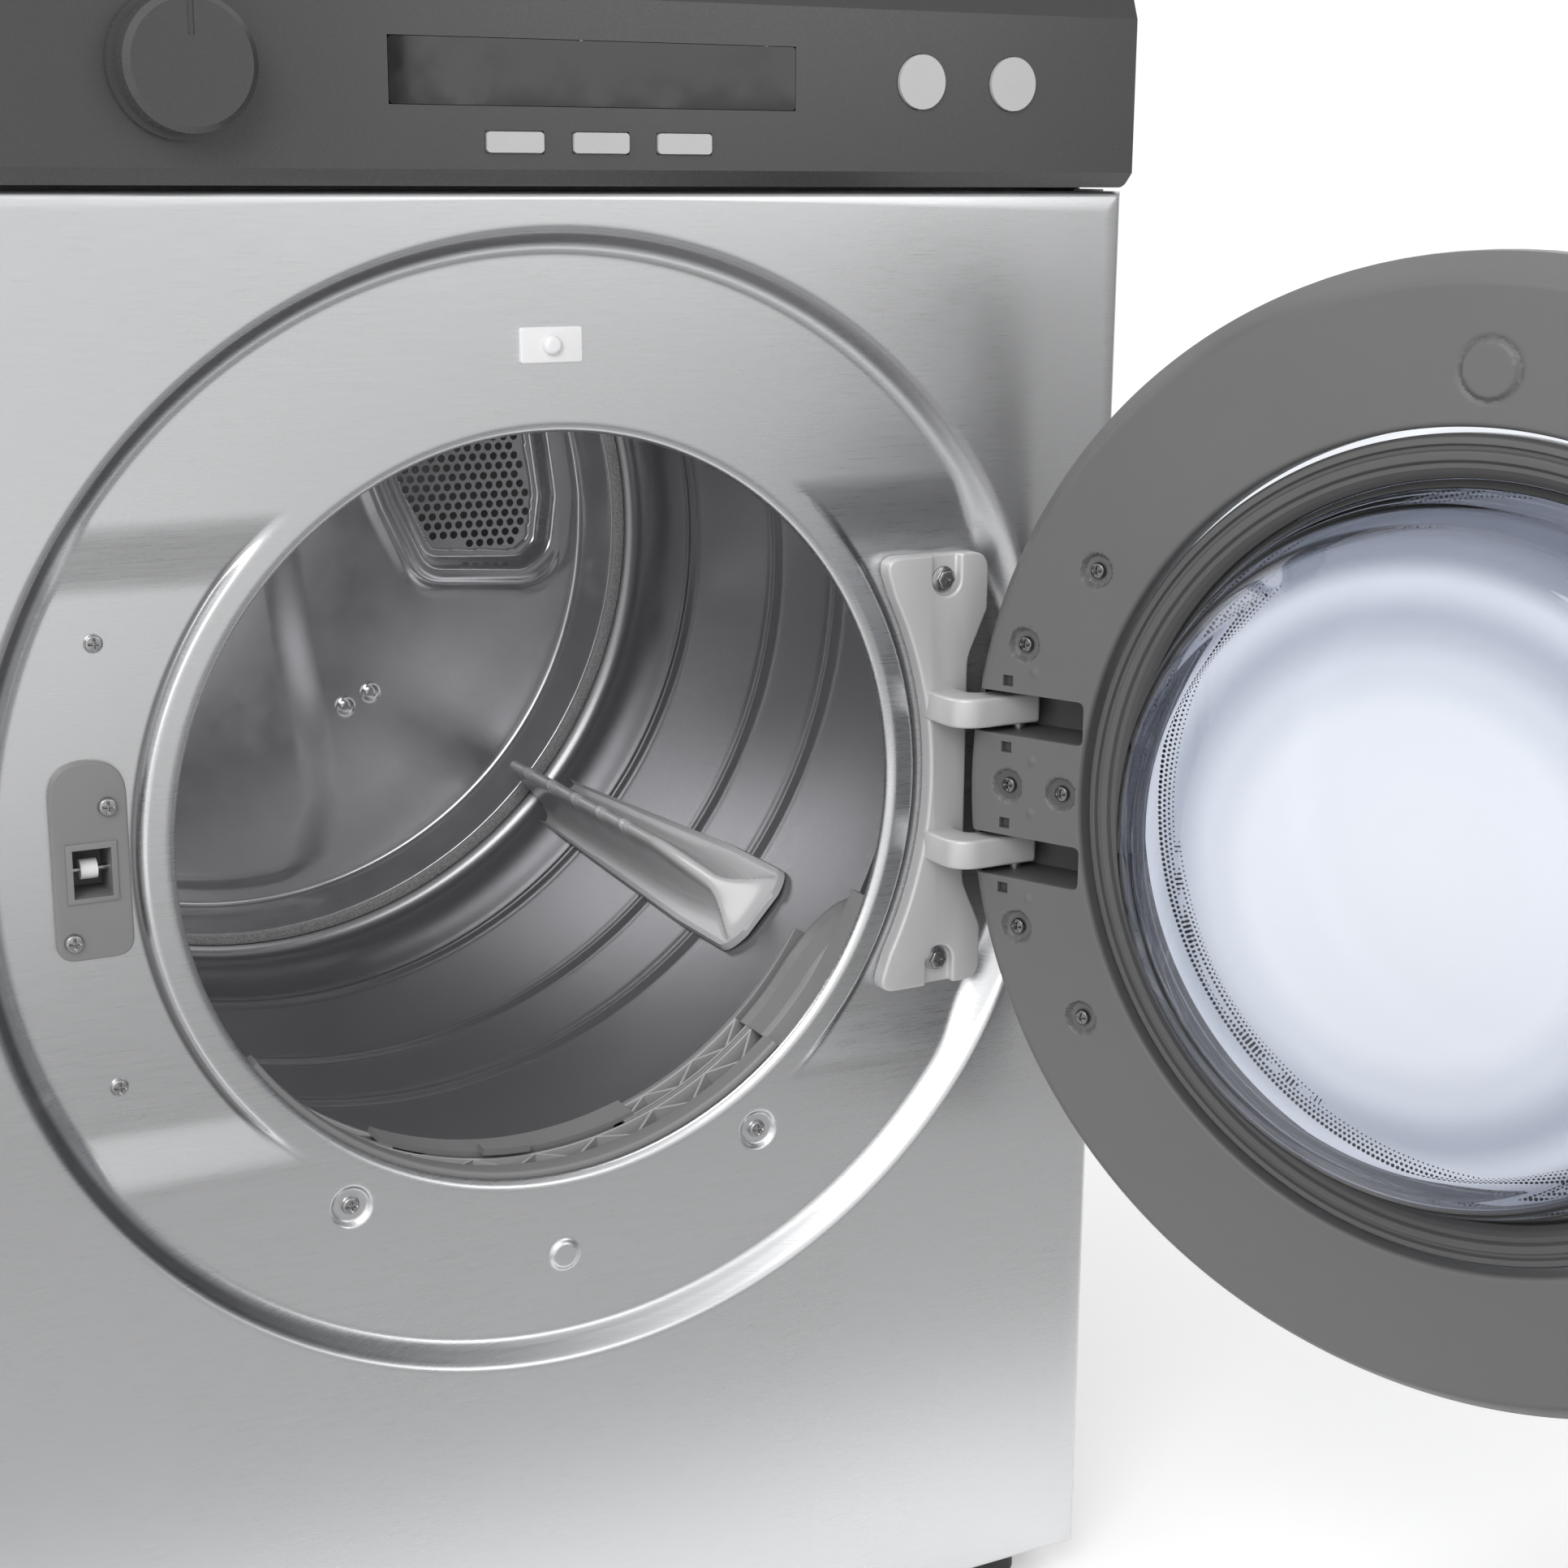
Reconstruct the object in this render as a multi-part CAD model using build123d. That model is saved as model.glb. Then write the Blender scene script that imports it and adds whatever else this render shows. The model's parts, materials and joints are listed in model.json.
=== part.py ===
"""Front-loading clothes dryer, 27 inches wide, with its round door open.

Frame: millimetres, +Z up, +X to the right of someone facing the door, +Y to the back.
The origin is on the floor, midway between the four levelling feet.
A depth is a distance behind the cabinet's front plane, so y(depth) turns it into Y.
The door is drawn shut and then swung open about its hinge pins.
"""
import math
import os

from build123d import *

# ---------------------------------------------------------------- driving dimensions
CABINET_WIDTH = 686.0
CABINET_HEIGHT = 984.0
CABINET_DEPTH = 750.0
HALF_WIDTH = CABINET_WIDTH / 2
FRONT_Y = -CABINET_DEPTH / 2
SHEET = 1.2
GAP = 0.5

OPENING_Z = 540.0
OPENING_R = 204.4
RECESS_LIP_R = 306.4
RECESS_FLOOR_R = 297.0
RECESS_DEPTH = 13.0
POCKET_DEPTH = 18.0
POCKET_STEP_R = 222.0
POCKET_FLAT_Z = 134.0
POCKET_END_Z = 174.0
PANEL_BOTTOM_Z = 26.0
PANEL_SCREW_X = 121.4
PANEL_SCREW_Z = -198.8
POCKET_SCREW_X = 238.4
POCKET_SCREW_Z = 113.1
HINGE_SCREW_X = 237.4
HINGE_SCREW_Z = 112.2
DIMPLE_DROP = 250.8
SWITCH_RISE = 249.2
PLUNGER_R = 5.0

FASCIA_BOTTOM_Z = 868.0
FASCIA_FACE = -8.0
CONTROL_Z = 922.0
KNOB_X = -190.0
KNOB_SHAFT_R = 4.0
DISPLAY_X0 = -90.0
DISPLAY_X1 = 130.0
DISPLAY_HALF = 16.0
KEY_COUNT = 3
KEY_PITCH = 46.0
KEY_Z = 889.0
BUTTON_R = 14.0
BUTTON_XS = (205.0, 262.0)

DRUM_Z = 612.0
DRUM_IN_R = 318.5
DRUM_OUT_R = 320.0
DRUM_FRONT = 86.0
DRUM_REAR = 576.5
DRUM_BEADS = (279.0, 366.0, 499.0)
LIFTER_COUNT = 3
LIFTER_ANGLE = -42.5

BULKHEAD_DEPTH = 79.2
FUNNEL_R = 252.0
FUNNEL_Z = OPENING_Z + 25.0
FUNNEL_SKIP = 12.0
REAR_SEAT_DEPTH = 587.0
REAR_DISH_DEPTH = 617.0
REAR_DISH_R = 278.0
GRILLE_DEPTH = 632.0
GRILLE_PITCH = 8.5
GRILLE_HOLE_R = 3.0

DOOR_FACE = 5.4
DOOR_FACE_R = 290.0
DOOR_RIM_R = 301.5
DOOR_BACK = -40.0
DOOR_OPEN_DEG = 115.0
HINGE_X = 272.0
HINGE_DEPTH = -17.0
HINGE_PIN_R = 4.0
PIN_CLEARANCE = 0.05
ARM_Z = 41.0
ARM_HEIGHT = 17.0
BRACKET_ARC_R = 229.0
SLOT_X0 = 217.0
SLOT_Z0 = 29.0
SLOT_Z1 = 53.5
SLOT_DEPTH = -31.0
DOOR_SCREW_SPOTS = ((212, 127), (212, -127), (256, 81.5), (256, -81.5), (264.5, 0), (230, 0))
PAD_RISE = 245.5
SEAT_DEPTH = -12.0

LATCH_X = -246.0
LATCH_ROLLER_DEPTH = 25.0
LATCH_PIN_R = 1.5
LATCH_SCREWS = ((9, 33), (-11, -34))

HOUSING_R = 206.0
HOUSING_FRONT = 18.0
HOUSING_REAR = 79.0
HOUSING_START = -166.0
HOUSING_END = -14.0
LATTICE_START = -132.0
LATTICE_END = -48.0
LATTICE_ROWS = ((36.0, 55.0), (58.5, 75.0))
FILTER_X = -15.0
FILTER_HALF = 66.0
FILTER_DEPTHS = (58.5, 71.0)
DUCT_FRONT = 24.0
DUCT_REAR = 75.5

ROLLER_R = 32.0
ROLLER_SHAFT_R = 5.0
ROLLER_ANGLES = (-55.0, -125.0)
ROLLER_DEPTHS = (112.0, 524.0)

MOTOR_X = 112.0
MOTOR_Z = 140.0
PULLEY_R = 12.0
IDLER_X = 184.0
IDLER_Z = 230.0
IDLER_R = 25.0
IDLER_PIVOT_X = 232.0
IDLER_PIVOT_Z = 120.0
IDLER_AXLE_R = 4.0
BELT_DEPTH = 335.0
BELT_WIDTH = 10.0
BELT_THICK = 2.0

SHAFT_R = 6.0
MOTOR_FRONT = 168.0
MOTOR_REAR = 300.0

DUCT_R = 50.8
DUCT_Z = 100.0
INLET_X = -230.0
INLET_Z = 880.0
INLET_R = 11.0
FOOT_X = 300.0
FOOT_Y = 330.0
FOOT_R = 22.0
FOOT_STEM_R = 5.0

nodes = {}


# ---------------------------------------------------------------- small helpers
def y(depth):
    """World Y of a depth behind the cabinet's front plane."""
    return FRONT_Y + depth


def box(x0, x1, d0, d1, z0, z1):
    """Axis-aligned block: x range, depth range, z range."""
    centre = Pos((x0 + x1) / 2, y((d0 + d1) / 2), (z0 + z1) / 2)
    return centre * Box(x1 - x0, d1 - d0, z1 - z0)


def rod_y(radius, d0, d1, x, z):
    """Round bar along Y between two depths."""
    return Pos(x, y((d0 + d1) / 2), z) * Rot(90, 0, 0) * Cylinder(radius, d1 - d0)


def rod_z(radius, z0, z1, x, depth):
    """Round bar along Z."""
    return Pos(x, y(depth), (z0 + z1) / 2) * Cylinder(radius, z1 - z0)


def rod_x(radius, x0, x1, depth, z):
    """Round bar along X."""
    return Pos((x0 + x1) / 2, y(depth), z) * Rot(0, 90, 0) * Cylinder(radius, x1 - x0)


def turned(profile, z):
    """Solid of revolution about a Y axis at height z; profile is (radius, depth) points."""
    outline = Polyline([(r, y(d)) for r, d in profile], close=True)
    return Pos(0, 0, z) * revolve(make_face(outline), Axis.Y)


def plate(sketch, d0, d1):
    """Extrude an X-Z sketch between two depths."""
    return extrude(Plane.XZ.offset(-y(d1)) * sketch, d1 - d0)


def outline(points, radius=0.0):
    """Closed 2-D polygon, with every corner rounded by one radius."""
    face = make_face(Polyline(points, close=True))
    if radius > 0:
        face = fillet(face.vertices(), radius)
    return face


def wedge(a0, a1, radius, d0, d1, z):
    """Pie slice about the Y axis at height z, between two angles in degrees from +X."""
    steps = max(2, math.ceil((a1 - a0) / 30))
    angles = [math.radians(a0 + (a1 - a0) * i / steps) for i in range(steps + 1)]
    reach = radius / math.cos(math.radians((a1 - a0) / steps / 2))
    points = [(0, 0)] + [(reach * math.cos(a), reach * math.sin(a)) for a in angles]
    return Pos(0, 0, z) * plate(make_face(Polyline(points, close=True)), d0, d1)


def skin(solid):
    """Front skin of a solid, one sheet thick: its walls must slope, never run along Y."""
    return solid - Pos(0, SHEET, 0) * solid


def polar(radius, degrees):
    """Point at a radius and angle in the X-Z plane."""
    return radius * math.cos(math.radians(degrees)), radius * math.sin(math.radians(degrees))


def group(parts):
    """Several separate solids kept in one node."""
    return Compound(children=list(parts))


def open_door(shape):
    """Swing a shape of the shut door to its open resting position."""
    axis = Pos(HINGE_X, y(HINGE_DEPTH), 0)
    return axis * Rot(0, 0, DOOR_OPEN_DEG) * axis.inverse() * shape


# ---------------------------------------------------------------- cabinet
def side_panel(side):
    """Outer side sheet with inward flanges at the front, top and bottom."""
    flange = 20.0
    front = 19.0
    rear = CABINET_DEPTH - 2.0
    bottom = PANEL_BOTTOM_Z
    top = CABINET_HEIGHT - 26.0
    outer = HALF_WIDTH
    inner = HALF_WIDTH - SHEET
    sheet = box(inner, outer, front, rear, bottom, top)
    sheet += box(outer - flange, outer, front, front + SHEET, bottom, top)
    sheet += box(outer - flange, outer, front, rear, bottom, bottom + SHEET)
    sheet += box(outer - flange, outer, front, rear, top - SHEET, top)
    sheet -= box(outer - flange - 1, outer + 1, front - 1, 42.5, FASCIA_BOTTOM_Z - 1, top + 1)
    return sheet if side > 0 else mirror(sheet, Plane.YZ)


def top_panel():
    """Lid with turned-down edges."""
    top = CABINET_HEIGHT
    drop = 24.0
    front = 42.0
    lid = box(-HALF_WIDTH, HALF_WIDTH, front, CABINET_DEPTH, top - drop, top)
    lid = fillet(lid.edges().filter_by(Axis.Z), 6)
    inner = box(-HALF_WIDTH + SHEET, HALF_WIDTH - SHEET, front + SHEET, CABINET_DEPTH - SHEET,
                top - drop - 1, top - SHEET)
    return lid - inner


def recess_tool():
    """Space of the round door recess with its two deeper side pockets."""
    slope = (RECESS_LIP_R - RECESS_FLOOR_R) / RECESS_DEPTH
    deep_r = RECESS_LIP_R - slope * POCKET_DEPTH
    lip = RECESS_LIP_R + slope
    dish = turned([(0, -1), (lip, -1), (RECESS_FLOOR_R, RECESS_DEPTH), (0, RECESS_DEPTH)], OPENING_Z)
    deep = turned([(0, -1), (lip, -1), (deep_r, POCKET_DEPTH), (0, POCKET_DEPTH)], OPENING_Z)
    step = turned([(0, -2), (POCKET_STEP_R - 2, -2), (POCKET_STEP_R, RECESS_DEPTH),
                   (POCKET_STEP_R + 2, POCKET_DEPTH + 1), (0, POCKET_DEPTH + 1)], OPENING_Z)
    run = POCKET_END_Z - POCKET_FLAT_Z
    rise = POCKET_DEPTH - RECESS_DEPTH
    over = run / rise
    half = [(y(RECESS_DEPTH) - 1, POCKET_END_Z + over), (y(POCKET_DEPTH), POCKET_FLAT_Z)]
    band = half + [(py, -pz) for py, pz in reversed(half)]
    slab = extrude(Plane.YZ.offset(-400) * make_face(Polyline(band, close=True)), 800)
    pockets = (deep & Pos(0, 0, OPENING_Z) * slab) - step
    return dish + pockets


def front_panel():
    """Stamped stainless front: door recess, side pockets, screw cups and a dimple."""
    top = FASCIA_BOTTOM_Z - 2
    block = box(-HALF_WIDTH, HALF_WIDTH, 0, 40, PANEL_BOTTOM_Z, top)
    block = fillet(block.edges().filter_by(Axis.Z).sort_by(Axis.Y)[:2], 4)
    block -= recess_tool()
    for x in (-PANEL_SCREW_X, PANEL_SCREW_X):
        cup = [(0, RECESS_DEPTH - 4), (13, RECESS_DEPTH - 1), (9, RECESS_DEPTH + 3), (0, RECESS_DEPTH + 3)]
        block -= Pos(x, 0, 0) * turned(cup, OPENING_Z + PANEL_SCREW_Z)
    dimple = [(0, RECESS_DEPTH - 2.5), (6, RECESS_DEPTH - 2.5), (9.5, RECESS_DEPTH + 1),
              (0, RECESS_DEPTH + 1)]
    block += turned(dimple, OPENING_Z - DIMPLE_DROP)
    sheet = skin(block)
    edge = box(-HALF_WIDTH, HALF_WIDTH, 0, 18, PANEL_BOTTOM_Z, top)
    edge -= box(-HALF_WIDTH + SHEET, HALF_WIDTH - SHEET, -1, 19, PANEL_BOTTOM_Z + SHEET, top - SHEET)
    sheet += edge & block
    sheet -= rod_y(OPENING_R, -5, 45, 0, OPENING_Z)
    sheet -= box(LATCH_X - 12.5, LATCH_X + 12.5, 10, 30, OPENING_Z - 14.5, OPENING_Z + 15.5)
    sheet -= box(-12.5, 12.5, 8, 20, OPENING_Z + SWITCH_RISE - 6.5, OPENING_Z + SWITCH_RISE + 6.5)
    for x, z, radius in panel_holes():
        sheet -= rod_y(radius, 5, 30, x, OPENING_Z + z)
    return sheet


def panel_holes():
    """Screw holes of the front panel: x, height above the opening's centre and radius."""
    holes = []
    for side in (-1, 1):
        holes.append((side * PANEL_SCREW_X, PANEL_SCREW_Z, 2.2))
        holes.append((-POCKET_SCREW_X, side * POCKET_SCREW_Z, 2.2))
        holes.append((HINGE_SCREW_X, side * HINGE_SCREW_Z, 3.2))
    for dx, z in LATCH_SCREWS:
        holes.append((LATCH_X + dx, z, 2.2))
    return holes


def rear_panel():
    """Back sheet with louvres, the exhaust hole and the power inlet hole."""
    front = CABINET_DEPTH - 1.8
    rear = CABINET_DEPTH - 0.6
    sheet = box(-HALF_WIDTH + 2, HALF_WIDTH - 2, front, rear, PANEL_BOTTOM_Z + 2, CABINET_HEIGHT - 28)
    sheet -= rod_y(DUCT_R + 1.5, front - 5, rear + 5, 0, DUCT_Z)
    sheet -= rod_y(INLET_R, front - 5, rear + 5, INLET_X, INLET_Z)
    for column in range(2):
        for row in range(8):
            x = 130 + column * 90
            z = 180 + row * 16
            sheet -= box(x - 35, x + 35, front - 5, rear + 5, z - 2.5, z + 2.5)
    return sheet


def base_pan():
    """Bottom tray with turned-up edges and four nut bosses for the feet."""
    floor_z = 30.0
    wall = 18.0
    edge = HALF_WIDTH - 2.5
    d0 = 21.0
    d1 = CABINET_DEPTH - 3.0
    pan = box(-edge, edge, d0, d1, floor_z, floor_z + wall)
    pan -= box(-edge + 1.5, edge - 1.5, d0 + 1.5, d1 - 1.5, floor_z + 1.5, floor_z + wall + 1)
    for x in (-FOOT_X, FOOT_X):
        for foot_y in (-FOOT_Y, FOOT_Y):
            pan += Pos(x, foot_y, floor_z + 5) * Cylinder(13, 20)
            pan -= Pos(x, foot_y, floor_z) * Cylinder(FOOT_STEM_R + PIN_CLEARANCE, 60)
    return pan


def levelling_foot(x, foot_y):
    """Round pad with a threaded stem."""
    pad = Pos(x, foot_y, 6) * Cylinder(FOOT_R, 12)
    neck = Pos(x, foot_y, 15) * Cylinder(9, 6)
    stem = Pos(x, foot_y, 40) * Cylinder(FOOT_STEM_R, 56)
    return pad + neck + stem


# ---------------------------------------------------------------- control panel
def fascia_section(inset):
    """Side outline of the control panel, shrunk by an inset."""
    top = CABINET_HEIGHT - inset
    low = FASCIA_BOTTOM_Z + inset
    face = FASCIA_FACE + inset
    return [(y(inset), low), (y(face), low + 8), (y(face), 958), (y(face + 10), top), (y(41.5), top),
            (y(41.5), low)]


def control_fascia():
    """Hollow control panel with cut-outs for the display, knob, keys and buttons."""
    wall = 3.0
    shell = extrude(Plane.YZ.offset(-HALF_WIDTH) * outline(fascia_section(0)), CABINET_WIDTH)
    shell = fillet(shell.edges().filter_by(Axis.Y), 3)
    inner = extrude(Plane.YZ.offset(-HALF_WIDTH + wall) * outline(fascia_section(wall)),
                    CABINET_WIDTH - 2 * wall)
    shell -= inner
    shell -= box(-HALF_WIDTH + wall, HALF_WIDTH - wall, 38, 45, FASCIA_BOTTOM_Z + wall, CABINET_HEIGHT - wall)
    shell -= rod_y(KNOB_SHAFT_R + 1, -12, 0, KNOB_X, CONTROL_Z)
    shell -= box(DISPLAY_X0, DISPLAY_X1, -12, 0, CONTROL_Z - DISPLAY_HALF, CONTROL_Z + DISPLAY_HALF)
    for x in BUTTON_XS:
        shell -= rod_y(BUTTON_R + GAP, -12, 0, x, CONTROL_Z)
    for i in range(KEY_COUNT):
        x = key_x(i)
        shell -= box(x - 15.5, x + 15.5, -12, 0, KEY_Z - 5.5, KEY_Z + 5.5)
    return shell


def key_x(i):
    """X of the centre of one option key."""
    return (DISPLAY_X0 + DISPLAY_X1) / 2 + (i - (KEY_COUNT - 1) / 2) * KEY_PITCH


def display_window():
    """Dark display lens set flush in the control panel."""
    lens = box(DISPLAY_X0 + 0.3, DISPLAY_X1 - 0.3, FASCIA_FACE, FASCIA_FACE + 3,
               CONTROL_Z - DISPLAY_HALF + 0.3, CONTROL_Z + DISPLAY_HALF - 0.3)
    return fillet(lens.edges().filter_by(Axis.Y), 2)


def cycle_knob():
    """Cycle selector knob with a grip ridge and its shaft."""
    body = rod_y(31, FASCIA_FACE - 24, FASCIA_FACE - GAP, KNOB_X, CONTROL_Z)
    body = chamfer(body.edges().filter_by(GeomType.CIRCLE).sort_by(Axis.Y)[0], 3)
    ring = rod_y(34, FASCIA_FACE - 5, FASCIA_FACE - GAP, KNOB_X, CONTROL_Z)
    shaft = rod_y(KNOB_SHAFT_R, FASCIA_FACE - 1, 20, KNOB_X, CONTROL_Z)
    mark = box(KNOB_X - 1.5, KNOB_X + 1.5, FASCIA_FACE - 25, FASCIA_FACE - 23, CONTROL_Z + 12, CONTROL_Z + 29)
    return body + ring + shaft - mark


def round_button(x):
    """Round push button with a flange behind the panel."""
    cap = rod_y(BUTTON_R, FASCIA_FACE - 2, FASCIA_FACE + 8, x, CONTROL_Z)
    flange = rod_y(BUTTON_R + 2, FASCIA_FACE + 3.6, FASCIA_FACE + 8, x, CONTROL_Z)
    return cap + flange


def option_key(i):
    """Small rectangular push key with a flange behind the panel."""
    x = key_x(i)
    cap = box(x - 15, x + 15, FASCIA_FACE - 1.6, FASCIA_FACE + 8, KEY_Z - 5, KEY_Z + 5)
    cap = fillet(cap.edges().filter_by(Axis.Y), 2)
    return cap + box(x - 17, x + 17, FASCIA_FACE + 3.6, FASCIA_FACE + 8, KEY_Z - 7, KEY_Z + 7)


# ---------------------------------------------------------------- bulkheads and air path
def oblique_cone(front_r, rear_r, rear_z, d0, d1):
    """Loft from a circle on the opening's axis to one on a raised axis."""
    front = Pos(0, 0, OPENING_Z) * (Plane.XZ.offset(-y(d0)) * Circle(front_r))
    rear = Pos(0, 0, rear_z) * (Plane.XZ.offset(-y(d1)) * Circle(rear_r))
    return loft([front, rear], ruled=True)


def front_bulkhead():
    """Sheet behind the front panel: a flared throat and the plate that carries the drum."""
    d0 = 20.0
    d1 = BULKHEAD_DEPTH + SHEET
    edge = HALF_WIDTH - 2.0
    sheet = box(-edge, edge, BULKHEAD_DEPTH, d1, 250, 940)
    sheet -= rod_y(FUNNEL_R, BULKHEAD_DEPTH - 5, d1 + 5, 0, FUNNEL_Z)
    throat = oblique_cone(OPENING_R + 1.6 + SHEET, FUNNEL_R + SHEET, FUNNEL_Z, d0, d1)
    throat -= oblique_cone(OPENING_R + 1.6, FUNNEL_R, FUNNEL_Z, d0, d1)
    throat -= wedge(-180 + FUNNEL_SKIP, -FUNNEL_SKIP, 330, d0 - 5, BULKHEAD_DEPTH, OPENING_Z)
    return sheet + throat


def felt_seals():
    """Felt rings that the drum's two ends run against."""
    front = turned([(302, DRUM_FRONT - 5), (317, DRUM_FRONT - 5), (317, DRUM_FRONT - GAP),
                    (302, DRUM_FRONT - GAP)],
                   DRUM_Z)
    rear = turned([(289.5, DRUM_REAR + GAP), (302, DRUM_REAR + GAP), (302, REAR_SEAT_DEPTH),
                   (291.5, REAR_SEAT_DEPTH)],
                  DRUM_Z)
    return group([front, rear])


GRILLE_OUTLINE = [(150, 30), (236, 24), (260, 44), (266, 90), (258, 150), (215, 222), (130, 258), (66, 226),
                  (62, 140), (97, 88)]


def grille_sketch(shrink):
    """Rounded outline of the air grille recess, shrunk towards its middle."""
    cx = sum(p[0] for p in GRILLE_OUTLINE) / len(GRILLE_OUTLINE)
    cz = sum(p[1] for p in GRILLE_OUTLINE) / len(GRILLE_OUTLINE)
    points = []
    for px, pz in GRILLE_OUTLINE:
        length = math.hypot(px - cx, pz - cz)
        k = (length - shrink) / length
        points.append((cx + (px - cx) * k, OPENING_Z + cz + (pz - cz) * k))
    return outline(points, 12)


def rear_bulkhead():
    """Stamped rear wall of the drum: dished centre and a framed recess for the air grille."""
    edge = HALF_WIDTH - 2.0
    block = box(-edge, edge, REAR_SEAT_DEPTH, 700, 262, 940)
    dish = [(0, REAR_SEAT_DEPTH - 5), (292.7, REAR_SEAT_DEPTH - 5), (291, REAR_SEAT_DEPTH),
            (REAR_DISH_R, REAR_DISH_DEPTH), (60, REAR_DISH_DEPTH + 3), (0, REAR_DISH_DEPTH + 3)]
    block -= turned(dish, DRUM_Z)
    low = Plane.XZ.offset(-y(GRILLE_DEPTH)) * grille_sketch(18)
    high = Plane.XZ.offset(-y(REAR_DISH_DEPTH - 2)) * grille_sketch(4)
    block -= loft([low, high], ruled=True)
    sheet = skin(block)
    return sheet - plate(grille_sketch(24), GRILLE_DEPTH - 6, GRILLE_DEPTH + 6)


def air_grille():
    """Perforated plate behind the recess in the rear bulkhead."""
    face = grille_sketch(20)
    solid_edge = grille_sketch(26)
    bounds = solid_edge.bounding_box()
    pitch_z = GRILLE_PITCH * math.sqrt(3) / 2
    holes = []
    rows = math.ceil((bounds.max.Y - bounds.min.Y) / pitch_z)
    columns = math.ceil((bounds.max.X - bounds.min.X) / GRILLE_PITCH)
    for row in range(rows + 1):
        for column in range(columns + 1):
            hx = bounds.min.X + column * GRILLE_PITCH + (row % 2) * GRILLE_PITCH / 2
            hz = bounds.min.Y + row * pitch_z
            if inside(solid_edge, hx, hz, GRILLE_HOLE_R):
                holes.append(Pos(hx, hz) * Circle(GRILLE_HOLE_R))
    return plate(face - holes, GRILLE_DEPTH + SHEET, GRILLE_DEPTH + 2 * SHEET)


def inside(face, px, pz, margin):
    """True if a circle of the margin's radius lies wholly inside a flat face."""
    ring = [polar(margin, 60 * i) for i in range(6)]
    return all(face.is_inside(Vector(px + dx, pz + dz, 0)) for dx, dz in ring)


def heater_duct():
    """Air channel up the back of the rear bulkhead, open towards the grille."""
    front = GRILLE_DEPTH + 3 * SHEET
    rear = CABINET_DEPTH - 12
    x0 = 44.0
    x1 = 284.0
    z0 = 150.0
    z1 = OPENING_Z + 272
    duct = box(x0, x1, front, rear, z0, z1)
    duct -= box(x0 + SHEET, x1 - SHEET, front + SHEET, rear - SHEET, z0 + SHEET, z1 - SHEET)
    duct -= plate(grille_sketch(16), front - 3, front + 3)
    duct -= box(x0 + 30, x1 - 30, rear - 5, rear + 5, z0 + 20, z0 + 150)
    return duct


def heater_element():
    """Serpentine heating rod across the lower part of the duct."""
    depth = 690.0
    x0 = 70.0
    x1 = 258.0
    pitch = 24.0
    runs = 8
    z0 = 330.0
    rod = None
    for i in range(runs):
        z = z0 + i * pitch
        bar = rod_x(3.2, x0, x1, depth, z)
        rod = bar if rod is None else rod + bar
        if i + 1 < runs:
            x = x1 if i % 2 == 0 else x0
            rod += rod_z(3.2, z, z + pitch, x, depth)
            rod += Pos(x, y(depth), z) * Sphere(3.2) + Pos(x, y(depth), z + pitch) * Sphere(3.2)
    for z, x in ((z0, x0), (z0 + (runs - 1) * pitch, x0)):
        rod += rod_y(3.2, depth, CABINET_DEPTH - 12 - SHEET, x, z)
    return rod


# ---------------------------------------------------------------- drum and its drive
def drum():
    """Rolled drum with a front lip, three beads and a rounded rear shoulder."""
    outer = [(302, DRUM_FRONT), (316, DRUM_FRONT), (DRUM_OUT_R, DRUM_FRONT + 4)]
    inner = [(302, DRUM_FRONT + 1.5), (315.2, DRUM_FRONT + 1.5), (DRUM_IN_R, DRUM_FRONT + 5)]
    for bead in DRUM_BEADS:
        outer += [(DRUM_OUT_R, bead - 6), (DRUM_OUT_R - 1.5, bead), (DRUM_OUT_R, bead + 6)]
        inner += [(DRUM_IN_R, bead - 6), (DRUM_IN_R - 1.5, bead), (DRUM_IN_R, bead + 6)]
    outer += [(DRUM_OUT_R, 546), (317, 559), (309, 569), (296, DRUM_REAR)]
    inner += [(DRUM_IN_R, 545.5), (315.6, 558.3), (308, 567.7), (295.5, DRUM_REAR - 1.6)]
    return turned(outer + list(reversed(inner)), DRUM_Z)


def lifter(angle):
    """Tumbling vane on the drum wall, triangular in section, lower at its front end."""
    base_r = 315.8
    top_r = 262.0
    base = Pos(0, y(384), base_r) * RectangleRounded(52, 324, 14)
    top = Pos(0, y(437), top_r) * RectangleRounded(13, 264, 6)
    vane = loft([base, top], ruled=True)
    return Pos(0, 0, DRUM_Z) * Rot(0, 90 - angle, 0) * vane


def drum_lifters():
    """The drum's three vanes, evenly spaced."""
    return group(lifter(LIFTER_ANGLE + 360 / LIFTER_COUNT * i) for i in range(LIFTER_COUNT))


def roller_centre(angle):
    """Centre of a support roller under the drum."""
    reach = DRUM_OUT_R + ROLLER_R + 0.3
    dx, dz = polar(reach, angle)
    return dx, DRUM_Z + dz


def support_roller(angle, depth):
    """Rubber-tyred roller that carries the drum."""
    x, z = roller_centre(angle)
    wheel = rod_y(ROLLER_R, depth - 10, depth + 10, x, z)
    for face in (depth - 10, depth + 10):
        wheel -= rod_y(ROLLER_R - 8, face - 5, face + 5, x, z) - rod_y(11, face - 6, face + 6, x, z)
    return wheel - rod_y(ROLLER_SHAFT_R + PIN_CLEARANCE, depth - 20, depth + 20, x, z)


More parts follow.
